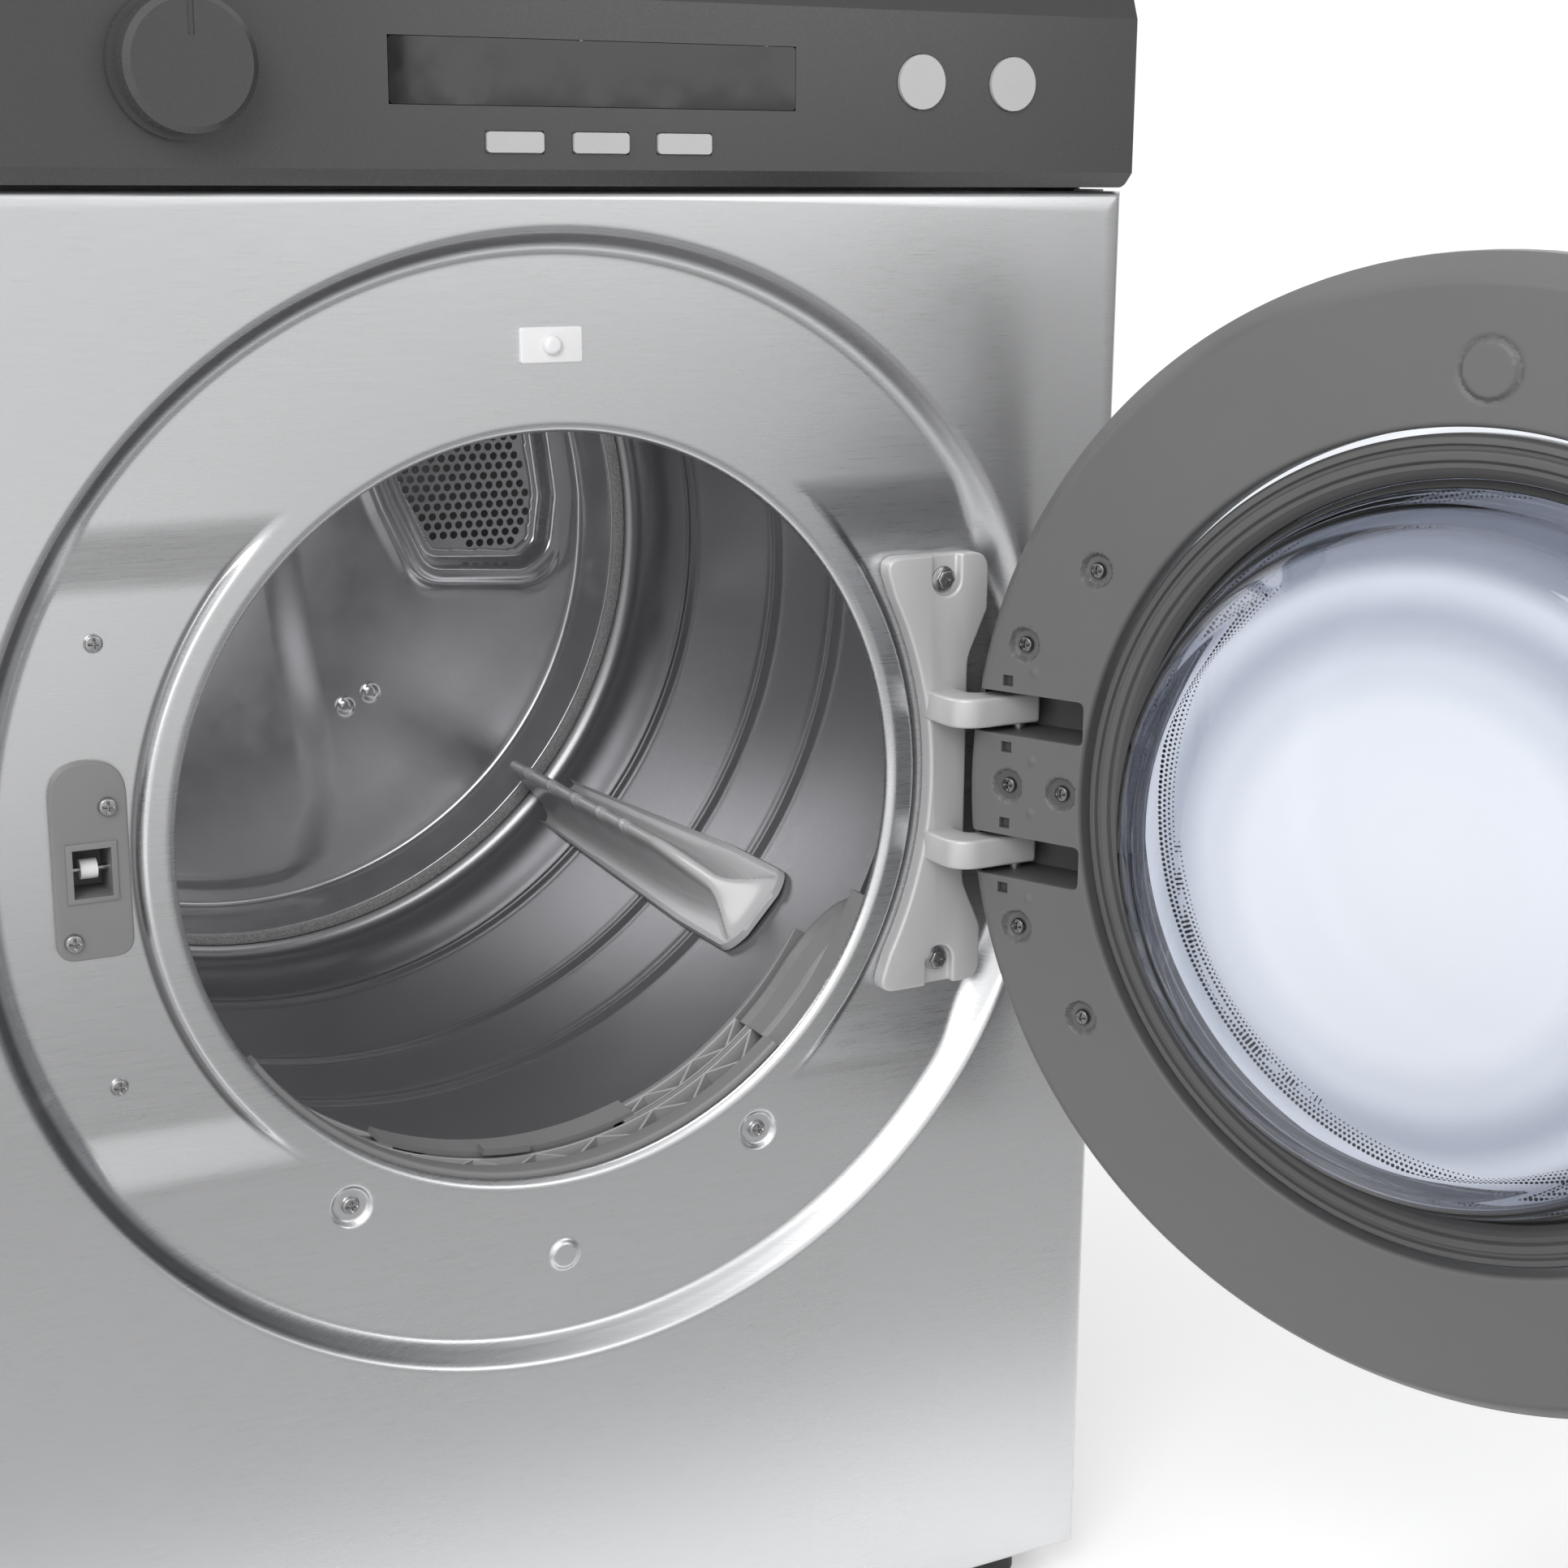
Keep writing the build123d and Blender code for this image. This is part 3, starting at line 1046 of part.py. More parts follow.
# ---------------------------------------------------------------- assembly
def build():
    """Make every node of the dryer."""
    nodes["side_panel_left"] = side_panel(-1)
    nodes["side_panel_right"] = side_panel(1)
    nodes["top_panel"] = top_panel()
    nodes["front_panel"] = front_panel()
    nodes["rear_panel"] = rear_panel()
    nodes["base_pan"] = base_pan() + idler_bracket()
    corners = {"front_left": (-1, -1), "front_right": (1, -1), "rear_left": (-1, 1), "rear_right": (1, 1)}
    for corner, (sx, sy) in corners.items():
        nodes["foot_" + corner] = levelling_foot(sx * FOOT_X, sy * FOOT_Y)

    nodes["control_fascia"] = control_fascia()
    nodes["display_window"] = display_window()
    nodes["cycle_knob"] = cycle_knob()
    nodes["start_button"] = round_button(BUTTON_XS[0])
    nodes["power_button"] = round_button(BUTTON_XS[1])
    for i in range(KEY_COUNT):
        nodes["option_key_%d" % (i + 1)] = option_key(i)

    nodes["front_bulkhead"] = front_bulkhead()
    nodes["rear_bulkhead"] = rear_bulkhead()
    nodes["air_grille"] = air_grille()
    nodes["felt_seals"] = felt_seals()
    nodes["heater_duct"] = heater_duct()
    nodes["heater_element"] = heater_element()

    nodes["drum"] = drum()
    nodes["drum_lifters"] = drum_lifters()
    number = 1
    for depth in ROLLER_DEPTHS:
        for angle in ROLLER_ANGLES:
            nodes["support_roller_%d" % number] = support_roller(angle, depth)
            number += 1
    nodes["roller_mounts"] = roller_mounts()
    nodes["drum_belt"] = drum_belt()
    nodes["motor"] = motor()
    nodes["rotor_shaft"] = rotor_shaft()
    nodes["blower_wheel"] = blower_wheel()
    nodes["blower_housing"] = blower_housing()
    nodes["exhaust_duct"] = exhaust_duct()
    nodes["idler_arm"] = idler_arm()
    nodes["idler_pulley"] = idler_pulley()

    nodes["lint_housing"] = lint_housing()
    nodes["lint_grille"] = lint_grille()
    nodes["lint_filter"] = lint_filter() + filter_screens()
    nodes["lint_duct"] = lint_duct()

    nodes["latch_cover"] = latch_cover()
    nodes["latch_housing"] = latch_housing()
    nodes["latch_roller"] = latch_roller()
    nodes["latch_pin"] = latch_pin()
    nodes["door_switch"] = door_switch()
    nodes["door_switch_plunger"] = door_switch_plunger()
    nodes["hinge_bracket"] = hinge_bracket()
    nodes["cabinet_screws"] = cabinet_screws()

    nodes["door_inner_frame"] = open_door(door_inner_frame())
    nodes["door_outer_ring"] = open_door(door_outer_ring() + window_clips())
    nodes["door_window"] = open_door(door_window())
    nodes["door_glass"] = open_door(door_glass())
    nodes["door_seal_ring"] = open_door(door_seal_ring())
    nodes["hinge_receiver"] = open_door(hinge_receiver())
    nodes["hinge_pins"] = open_door(hinge_pins())
    nodes["door_catch"] = open_door(door_catch())
    nodes["door_screws"] = open_door(door_screws())


build()
os.makedirs("parts", exist_ok=True)
for name, shape in nodes.items():
    export_step(shape, "parts/%s.step" % name)
print(len(nodes), "nodes")
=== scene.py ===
"""Looks of the open clothes dryer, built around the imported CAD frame.

Lengths inside the helpers are millimetres in the door opening's frame: x to the right, depth
behind the cabinet's front plane, z above the opening's centre.  at() turns them into metres.
"""
import json
import math

import bmesh
import bpy
import numpy as np
from mathutils import Matrix, Vector

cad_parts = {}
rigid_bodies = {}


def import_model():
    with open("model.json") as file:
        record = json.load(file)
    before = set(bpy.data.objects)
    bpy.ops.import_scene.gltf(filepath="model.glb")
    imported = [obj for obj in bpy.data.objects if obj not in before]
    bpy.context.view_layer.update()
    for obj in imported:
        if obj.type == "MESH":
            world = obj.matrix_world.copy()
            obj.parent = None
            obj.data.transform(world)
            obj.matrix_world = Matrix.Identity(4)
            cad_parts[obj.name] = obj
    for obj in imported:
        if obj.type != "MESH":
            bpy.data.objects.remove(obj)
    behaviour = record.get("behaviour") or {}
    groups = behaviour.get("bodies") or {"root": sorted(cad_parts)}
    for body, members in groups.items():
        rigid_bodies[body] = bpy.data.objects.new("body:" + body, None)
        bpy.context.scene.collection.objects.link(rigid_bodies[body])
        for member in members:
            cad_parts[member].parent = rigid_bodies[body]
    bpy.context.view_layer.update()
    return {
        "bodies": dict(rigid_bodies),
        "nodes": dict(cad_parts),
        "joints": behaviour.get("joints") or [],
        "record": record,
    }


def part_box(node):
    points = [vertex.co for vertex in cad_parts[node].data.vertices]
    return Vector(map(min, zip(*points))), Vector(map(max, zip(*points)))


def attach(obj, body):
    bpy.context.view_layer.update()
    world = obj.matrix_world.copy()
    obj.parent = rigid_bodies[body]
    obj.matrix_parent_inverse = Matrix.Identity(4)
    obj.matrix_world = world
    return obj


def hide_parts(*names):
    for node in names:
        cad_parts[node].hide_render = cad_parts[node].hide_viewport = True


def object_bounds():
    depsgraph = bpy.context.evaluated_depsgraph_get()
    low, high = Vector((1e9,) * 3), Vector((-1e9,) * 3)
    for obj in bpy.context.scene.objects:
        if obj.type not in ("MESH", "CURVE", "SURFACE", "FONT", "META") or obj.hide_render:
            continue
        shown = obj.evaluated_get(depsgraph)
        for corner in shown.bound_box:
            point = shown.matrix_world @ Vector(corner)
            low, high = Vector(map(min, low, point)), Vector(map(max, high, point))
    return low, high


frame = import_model()

MM = 0.001
JOINTS = {joint["name"]: joint for joint in frame["joints"]}
HINGE = Vector(JOINTS["door_hinge"]["pos_m"])
DRUM_AXIS = Vector(JOINTS["drum_spin"]["pos_m"])
FRONT_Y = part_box("front_panel")[0].y
OPEN_Z = HINGE.z
DRUM_RISE = (DRUM_AXIS.z - OPEN_Z) / MM
HALF_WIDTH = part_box("front_panel")[1].x / MM
PANEL_LOW = (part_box("front_panel")[0].z - OPEN_Z) / MM
PANEL_HIGH = (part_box("front_panel")[1].z - OPEN_Z) / MM
DOOR_OPEN = -math.radians(JOINTS["door_hinge"]["range_deg"][0])

OPENING_R = 204.4
OPENING_ROLL = 5.6
RECESS_LIP_R = 306.4
RECESS_FLOOR_R = 297.0
RECESS_DEPTH = 13.0
POCKET_DEPTH = 18.0
POCKET_STEP_R = 222.0
POCKET_FLAT = 134.0
POCKET_END = 174.0
DISH_R = 278.0
DISH_DEPTH = 617.0


# ------------------------------------------------------------------ places
def at(x, depth, z):
    """Metres in the row frame for a place given in the opening's frame."""
    return Vector((x * MM, FRONT_Y + depth * MM, OPEN_Z + z * MM))


def swing_door(obj):
    """Turn a piece that was drawn with the door shut to the door's open resting place."""
    turn = Matrix.Translation(HINGE) @ Matrix.Rotation(DOOR_OPEN, 4, "Z") @ Matrix.Translation(-HINGE)
    obj.data.transform(turn)
    return obj


# ------------------------------------------------------------------ mesh helpers
def mesh_object(name, points, faces, smooth=True):
    """New object from points in metres and faces."""
    mesh = bpy.data.meshes.new(name)
    mesh.from_pydata([tuple(p) for p in points], [], faces)
    mesh.polygons.foreach_set("use_smooth", [smooth] * len(mesh.polygons))
    mesh.validate()
    mesh.update()
    obj = bpy.data.objects.new(name, mesh)
    bpy.context.scene.collection.objects.link(obj)
    return obj


def object_from(bm, name, degrees=None):
    """New object from a bmesh, with smooth shading up to an angle when one is given."""
    mesh = bpy.data.meshes.new(name)
    bm.to_mesh(mesh)
    bm.free()
    obj = bpy.data.objects.new(name, mesh)
    bpy.context.scene.collection.objects.link(obj)
    if degrees is not None:
        shade_by_angle(obj, degrees)
    return obj


def grid_faces(rows, columns, wrap_rows, wrap_columns):
    """Quads of a grid of points stored row by row."""
    faces = []
    for i in range(rows if wrap_rows else rows - 1):
        a = i * columns
        b = ((i + 1) % rows) * columns
        for j in range(columns if wrap_columns else columns - 1):
            k = (j + 1) % columns
            faces.append((a + j, a + k, b + k, b + j))
    return faces


def soften(points, radius, steps=5, closed=True):
    """Round the corners of a 2-D polyline with arcs; radius is one number or one per point."""
    count = len(points)
    radii = radius if isinstance(radius, (list, tuple)) else [radius] * count
    out = []
    for i, (px, py) in enumerate(points):
        if radii[i] <= 0 or (not closed and i in (0, count - 1)):
            out.append((px, py))
            continue
        before = Vector(points[i - 1]) - Vector((px, py))
        after = Vector(points[(i + 1) % count]) - Vector((px, py))
        half = before.angle(after) / 2
        cut = min(radii[i] / max(math.tan(half), 1e-6), before.length * 0.49, after.length * 0.49)
        start = Vector((px, py)) + before.normalized() * cut
        end = Vector((px, py)) + after.normalized() * cut
        for s in range(steps + 1):
            t = s / steps
            corner = Vector((px, py))
            out.append(tuple(start * (1 - t) ** 2 + corner * 2 * t * (1 - t) + end * t ** 2))
    return out


def lathe(name, profile, rise=0.0, steps=256, closed=True, start=0.0, sweep=360.0):
    """Turn a (radius, depth) profile about a Y axis that lies rise above the opening's axis."""
    full = abs(sweep - 360.0) < 1e-6
    columns = steps if full else steps + 1
    points = []
    for i in range(columns):
        angle = math.radians(start + sweep * i / steps)
        ca, sa = math.cos(angle), math.sin(angle)
        for r, depth in profile:
            points.append(at(r * ca, depth, rise + r * sa))
    faces = grid_faces(columns, len(profile), full, closed)
    if not full and closed:
        faces.append(tuple(range(len(profile))))
        last = (columns - 1) * len(profile)
        faces.append(tuple(reversed(range(last, last + len(profile)))))
    obj = mesh_object(name, points, faces)
    tidy(obj)
    return obj


def tidy(obj, distance=1e-6):
    """Merge doubled points and make the normals agree."""
    bm = bmesh.new()
    bm.from_mesh(obj.data)
    bmesh.ops.remove_doubles(bm, verts=bm.verts, dist=distance)
    bmesh.ops.recalc_face_normals(bm, faces=bm.faces)
    bm.to_mesh(obj.data)
    bm.free()


def prism(name, outline, depth0, depth1, round_front=0.0, segments=3):
    """Plate of an X-Z outline between two depths, with its front rim rounded."""
    bm = bmesh.new()
    back = [bm.verts.new(at(px, depth1, pz)) for px, pz in outline]
    front = [bm.verts.new(at(px, depth0, pz)) for px, pz in outline]
    count = len(outline)
    bm.faces.new(back)
    front_face = bm.faces.new(front)
    for i in range(count):
        j = (i + 1) % count
        bm.faces.new((back[i], back[j], front[j], front[i]))
    bmesh.ops.recalc_face_normals(bm, faces=bm.faces)
    if round_front > 0:
        bmesh.ops.bevel(bm, geom=list(front_face.edges), offset=round_front * MM, segments=segments,
                        profile=0.5, affect="EDGES", clamp_overlap=True)
    return object_from(bm, name, 40)


def shade_by_angle(obj, degrees):
    """Smooth shading with edges sharper than an angle left crisp."""
    mesh = obj.data
    mesh.polygons.foreach_set("use_smooth", [True] * len(mesh.polygons))
    bm = bmesh.new()
    bm.from_mesh(mesh)
    limit = math.radians(degrees)
    for edge in bm.edges:
        edge.smooth = len(edge.link_faces) == 2 and edge.calc_face_angle(0) < limit
    bm.to_mesh(mesh)
    bm.free()


def apply_modifiers(obj):
    """Replace an object's mesh by its mesh with the modifiers applied."""
    graph = bpy.context.evaluated_depsgraph_get()
    mesh = bpy.data.meshes.new_from_object(obj.evaluated_get(graph))
    obj.modifiers.clear()
    obj.data = mesh
    return obj


def boolean(obj, cutter, operation="DIFFERENCE"):
    """Cut or join another object and delete it."""
    modifier = obj.modifiers.new("cut", "BOOLEAN")
    modifier.operation = operation
    modifier.solver = "EXACT"
    modifier.object = cutter
    bpy.context.view_layer.update()
    apply_modifiers(obj)
    bpy.data.objects.remove(cutter)
    return obj


def join(name, objects):
    """One object from several."""
    bm = bmesh.new()
    for obj in objects:
        bm.from_mesh(obj.data)
    for obj in objects:
        bpy.data.objects.remove(obj)
    return object_from(bm, name)


def block(name, x, depth, z, rounding=0.0):
    """Rounded block from three ranges in the opening's frame."""
    bm = bmesh.new()
    bmesh.ops.create_cube(bm, size=1)
    size = Vector((x[1] - x[0], depth[1] - depth[0], z[1] - z[0])) * MM
    centre = at((x[0] + x[1]) / 2, (depth[0] + depth[1]) / 2, (z[0] + z[1]) / 2)
    bmesh.ops.transform(bm, matrix=Matrix.Translation(centre) @ Matrix.Diagonal((*size, 1)), verts=bm.verts)
    if rounding > 0:
        bmesh.ops.bevel(bm, geom=list(bm.edges), offset=rounding * MM, segments=3, profile=0.5,
                        affect="EDGES", clamp_overlap=True)
    return object_from(bm, name, 40)


def finish_piece(obj, body, slot, *replaced, material=None):
    """Give a piece its body, its slot and the CAD nodes it stands for, in the slot's material or another."""
    obj.data.materials.clear()
    obj.data.materials.append(material or MATERIALS[slot])
    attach(obj, body)
    if replaced:
        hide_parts(*replaced)
    return obj


def ease(value):
    """Smooth 0 to 1 step."""
    t = np.clip(value, 0.0, 1.0)
    return t * t * (3 - 2 * t)


def soft_min(a, b, k):
    """Smaller of two fields with the meeting line rounded over k."""
    h = np.clip(0.5 + 0.5 * (b - a) / k, 0.0, 1.0)
    return b * (1 - h) + a * h - k * h * (1 - h)


def soft_max(a, b, k):
    """Larger of two fields with the meeting line rounded over k."""
    return -soft_min(-a, -b, k)


# ------------------------------------------------------------------ materials
def new_material(name):
    """Empty node material with its Principled shader."""
    material = bpy.data.materials.new(name)
    material.use_nodes = True
    nodes = material.node_tree.nodes
    return material, nodes, material.node_tree.links, nodes["Principled BSDF"]


def noise(nodes, links, scale, detail=2.0, rough=0.5, stretch=(1, 1, 1)):
    """Noise texture in object coordinates, stretched per axis."""
    coords = nodes.new("ShaderNodeTexCoord")
    mapping = nodes.new("ShaderNodeMapping")
    mapping.inputs["Scale"].default_value = stretch
    texture = nodes.new("ShaderNodeTexNoise")
    texture.inputs["Scale"].default_value = scale
    texture.inputs["Detail"].default_value = detail
    texture.inputs["Roughness"].default_value = rough
    links.new(coords.outputs["Object"], mapping.inputs["Vector"])
    links.new(mapping.outputs["Vector"], texture.inputs["Vector"])
    return texture


def ramp_range(nodes, links, source, low, high):
    """Map a 0..1 field onto a range."""
    node = nodes.new("ShaderNodeMapRange")
    node.inputs["From Min"].default_value = 0.25
    node.inputs["From Max"].default_value = 0.75
    node.inputs["To Min"].default_value = low
    node.inputs["To Max"].default_value = high
    links.new(source, node.inputs["Value"])
    return node.outputs["Result"]


def map_range(nodes, links, source, from_low, from_high, to_low, to_high):
    """Smoothly map one range onto another."""
    node = nodes.new("ShaderNodeMapRange")
    node.interpolation_type = "SMOOTHSTEP"
    node.inputs["From Min"].default_value = from_low
    node.inputs["From Max"].default_value = from_high
    node.inputs["To Min"].default_value = to_low
    node.inputs["To Max"].default_value = to_high
    links.new(source, node.inputs["Value"])
    return node.outputs["Result"]


def tone(nodes, links, source, first, second):
    """Mix two colours, or colour sockets, by a field."""
    mix = nodes.new("ShaderNodeMix")
    mix.data_type = "RGBA"
    for name, colour in (("A", first), ("B", second)):
        if isinstance(colour, tuple):
            mix.inputs[name].default_value = (*colour, 1)
        else:
            links.new(colour, mix.inputs[name])
    links.new(source, mix.inputs["Factor"])
    return mix.outputs["Result"]


def feed(links, socket, value):
    """Set an input to a constant or link it to a socket."""
    if isinstance(value, bpy.types.NodeSocket):
        links.new(value, socket)
    else:
        socket.default_value = value


def arithmetic(nodes, links, operation, first, second=0.0):
    """Number worked out from one or two numbers or sockets."""
    node = nodes.new("ShaderNodeMath")
    node.operation = operation
    feed(links, node.inputs[0], first)
    feed(links, node.inputs[1], second)
    return node.outputs["Value"]


def vector_sum(nodes, links, operation, first, second=(0, 0, 0)):
    """Vector node over sockets or constants: a vector, or a number for a length or dot product."""
    node = nodes.new("ShaderNodeVectorMath")
    node.operation = operation
    feed(links, node.inputs[0], first)
    feed(links, node.inputs[1], second)
    return node.outputs["Value" if operation in ("LENGTH", "DOT_PRODUCT") else "Vector"]


def split_place(nodes, links, source=None):
    """X, Y and Z sockets of a vector, by default the object coordinates."""
    split = nodes.new("ShaderNodeSeparateXYZ")
    links.new(source or object_place(nodes), split.inputs["Vector"])
    return split.outputs


def object_place(nodes):
    """Object coordinates."""
    return nodes.new("ShaderNodeTexCoord").outputs["Object"]


def vary_colour(nodes, links, shader, field, colour, spread):
    """Base colour that changes a little with a field."""
    dark = tuple(c * (1 - spread) for c in colour)
    light = tuple(min(1, c * (1 + spread)) for c in colour)
    links.new(tone(nodes, links, field, dark, light), shader.inputs["Base Color"])


def vary_roughness(nodes, links, shader, field, roughness, spread):
    """Roughness that changes a little with a field."""
    links.new(ramp_range(nodes, links, field, roughness - spread, roughness + spread),
              shader.inputs["Roughness"])


def add_bump(nodes, links, shader, height, strength, distance):
    """Bump from a height field, distance in metres."""
    bump = nodes.new("ShaderNodeBump")
    bump.inputs["Strength"].default_value = strength
    bump.inputs["Distance"].default_value = distance
    links.new(height, bump.inputs["Height"])
    links.new(bump.outputs["Normal"], shader.inputs["Normal"])


def brushed_metal(name, colour, roughness, stretch=(6, 6, 900), anisotropy=0.55, spread=0.05, bump=0.05,
                  tangent_axis="Z", metallic=1.0):
    """Brushed steel: long fine scratches along one direction."""
    material, nodes, links, shader = new_material(name)
    scratches = noise(nodes, links, 1.0, 3.0, 0.6, stretch)
    blotches = noise(nodes, links, 9.0, 2.0, 0.5)
    field = ramp_range(nodes, links, scratches.outputs["Fac"], 0.0, 1.0)
    vary_colour(nodes, links, shader, field, colour, spread)
    fine = ramp_range(nodes, links, scratches.outputs["Fac"], roughness - 0.05, roughness + 0.05)
    broad = ramp_range(nodes, links, blotches.outputs["Fac"], -0.02, 0.02)
    links.new(arithmetic(nodes, links, "ADD", fine, broad), shader.inputs["Roughness"])
    shader.inputs["Metallic"].default_value = metallic
    shader.inputs["Anisotropic"].default_value = anisotropy
    tangent = nodes.new("ShaderNodeTangent")
    tangent.direction_type = "RADIAL"
    tangent.axis = tangent_axis
    links.new(tangent.outputs["Tangent"], shader.inputs["Tangent"])
    add_bump(nodes, links, shader, scratches.outputs["Fac"], bump, 0.0002)
    return material


def rolled_steel(name, colour, roughness):
    """Smooth rolled steel with a faint grain round the drum's axis."""
    material, nodes, links, shader = new_material(name)
    cloud = noise(nodes, links, 2.5, 1.0, 0.4)
    vary_colour(nodes, links, shader, cloud.outputs["Fac"], colour, 0.03)
    grain = noise(nodes, links, 1.0, 1.0, 0.4, (4, 300, 4))
    vary_roughness(nodes, links, shader, grain.outputs["Fac"], roughness, 0.012)
    shader.inputs["Metallic"].default_value = 0.8
    return material


def moulded_plastic(name, colour, roughness, grain=1400.0, bump=0.12, variation=0.06, specular=0.5):
    """Moulded plastic with a fine grain and a little unevenness."""
    material, nodes, links, shader = new_material(name)
    fine = noise(nodes, links, grain, 2.0, 0.6)
    broad = noise(nodes, links, 14.0, 3.0, 0.5)
    vary_colour(nodes, links, shader, broad.outputs["Fac"], colour, variation)
    vary_roughness(nodes, links, shader, fine.outputs["Fac"], roughness, 0.05)
    shader.inputs["Specular IOR Level"].default_value = specular
    add_bump(nodes, links, shader, fine.outputs["Fac"], bump, 0.0003)
    return material


def painted_metal(name, colour, roughness, metallic=0.0, flake=0.0):
    """Painted sheet or casting with faint orange peel."""
    material, nodes, links, shader = new_material(name)
    peel = noise(nodes, links, 420.0, 2.0, 0.5)
    broad = noise(nodes, links, 6.0, 2.0, 0.5)
    speck = noise(nodes, links, 2600.0, 1.0, 0.5)
    vary_colour(nodes, links, shader, broad.outputs["Fac"], colour, 0.05)
    vary_roughness(nodes, links, shader, speck.outputs["Fac"], roughness, 0.04 + flake)
    shader.inputs["Metallic"].default_value = metallic
    add_bump(nodes, links, shader, peel.outputs["Fac"], 0.10, 0.0004)
    return material


def felt_material(name, colour):
    """Pressed wool felt with bright fibres."""
    material, nodes, links, shader = new_material(name)
    fibres = noise(nodes, links, 1100.0, 4.0, 0.75)
    tufts = noise(nodes, links, 260.0, 3.0, 0.6)
    field = ramp_range(nodes, links, fibres.outputs["Fac"], 0.0, 1.0)
    dark = tuple(c * 0.25 for c in colour)
    light = tuple(min(1, c * 3.2) for c in colour)
    links.new(tone(nodes, links, field, dark, light), shader.inputs["Base Color"])
    links.new(ramp_range(nodes, links, tufts.outputs["Fac"], 0.7, 1.0), shader.inputs["Roughness"])
    shader.inputs["Sheen Weight"].default_value = 0.5
    add_bump(nodes, links, shader, fibres.outputs["Fac"], 0.9, 0.0012)
    return material


def glass_shader(nodes, links, shader):
    """Set a shader to smooth glass; returns its faint waviness."""
    waves = noise(nodes, links, 7.0, 1.0, 0.4).outputs["Fac"]
    links.new(ramp_range(nodes, links, waves, 0.0, 0.01), shader.inputs["Roughness"])
    shader.inputs["Transmission Weight"].default_value = 1.0
    shader.inputs["IOR"].default_value = 1.47
    return waves


def clear_glass(name, colour):
    """Clear glass with faint surface waviness."""
    material, nodes, links, shader = new_material(name)
    waves = glass_shader(nodes, links, shader)
    dark = tuple(c * 0.985 for c in colour)
    links.new(tone(nodes, links, waves, dark, colour), shader.inputs["Base Color"])
    add_bump(nodes, links, shader, waves, 0.02, 0.002)
    return material


def rubber(name, colour, roughness=0.55):
    """Dull rubber."""
    return moulded_plastic(name, colour, roughness, grain=700.0, bump=0.15, variation=0.10, specular=0.35)


def grey(value):
    """Neutral colour."""
    return (value, value, value * 1.015)


MATERIALS = {
    "stainless_front": brushed_metal("stainless_front", (0.71, 0.715, 0.725), 0.30, (40, 40, 2200), 0.55,
                                     0.03, 0.01),
    "cabinet_paint": painted_metal("cabinet_paint", grey(0.30), 0.38, 0.3),
    "galvanised": painted_metal("galvanised", grey(0.45), 0.42, 0.8, 0.05),
    "bulkhead_steel": brushed_metal("bulkhead_steel", (0.50, 0.50, 0.515), 0.20, (30, 30, 30), 0.0,
                                    0.03, 0.02, "Z", 0.75),
    "drum_steel": rolled_steel("drum_steel", (0.28, 0.28, 0.29), 0.26),
    "lifter_plastic": moulded_plastic("lifter_plastic", grey(0.54), 0.18, 500.0, 0.03),
    "lint_plastic": moulded_plastic("lint_plastic", grey(0.21), 0.36),
    "fascia_plastic": moulded_plastic("fascia_plastic", grey(0.06), 0.25, 900.0, 0.05),
    "display_glass": moulded_plastic("display_glass", (0.006, 0.006, 0.007), 0.06, 40.0, 0.0),
    "key_plastic": moulded_plastic("key_plastic", grey(0.5), 0.25, 900.0, 0.05),
    "felt": felt_material("felt", grey(0.24)),
    "heater_alloy": painted_metal("heater_alloy", (0.18, 0.16, 0.15), 0.5, 0.8),
    "roller_rubber": rubber("roller_rubber", grey(0.03)),
    "belt_rubber": rubber("belt_rubber", grey(0.025)),
    "motor_steel": painted_metal("motor_steel", grey(0.18), 0.4, 0.5),
    "pulley_plastic": moulded_plastic("pulley_plastic", (0.75, 0.74, 0.70), 0.35),
    "duct_aluminium": brushed_metal("duct_aluminium", (0.72, 0.73, 0.74), 0.32, (300, 8, 300), 0.3, 0.05,
                                    0.05, "Y"),
    "latch_plastic": moulded_plastic("latch_plastic", grey(0.21), 0.42),
    "white_plastic": moulded_plastic("white_plastic", (0.80, 0.80, 0.81), 0.30, 900.0, 0.03),
    "pin_steel": painted_metal("pin_steel", grey(0.42), 0.26, 1.0),
    "hinge_casting": painted_metal("hinge_casting", (0.56, 0.56, 0.565), 0.40, 0.25, 0.04),
    "door_plastic": moulded_plastic("door_plastic", grey(0.135), 0.48, 1600.0, 0.10, 0.04),
    "door_trim": painted_metal("door_trim", grey(0.22), 0.35, 0.6),
    "window_glass": clear_glass("window_glass", (0.93, 0.96, 1.0)),
    "seal_rubber": rubber("seal_rubber", grey(0.11), 0.36),
    "catch_plastic": moulded_plastic("catch_plastic", grey(0.05), 0.40),
    "foot_rubber": rubber("foot_rubber", grey(0.03)),
    "dark_steel": painted_metal("dark_steel", grey(0.20), 0.24, 1.0),
    "lattice_plastic": moulded_plastic("lattice_plastic", grey(0.40), 0.34),
    # the hinge receiver's near-black colour is painted shade for what shows through the door's square holes
    "receiver_casting_painted_shade": painted_metal("receiver_casting_painted_shade", grey(0.11), 0.5, 0.2),
}
SLOTS = {part["node"]: part["material_slot"] for part in frame["record"]["subparts"]}


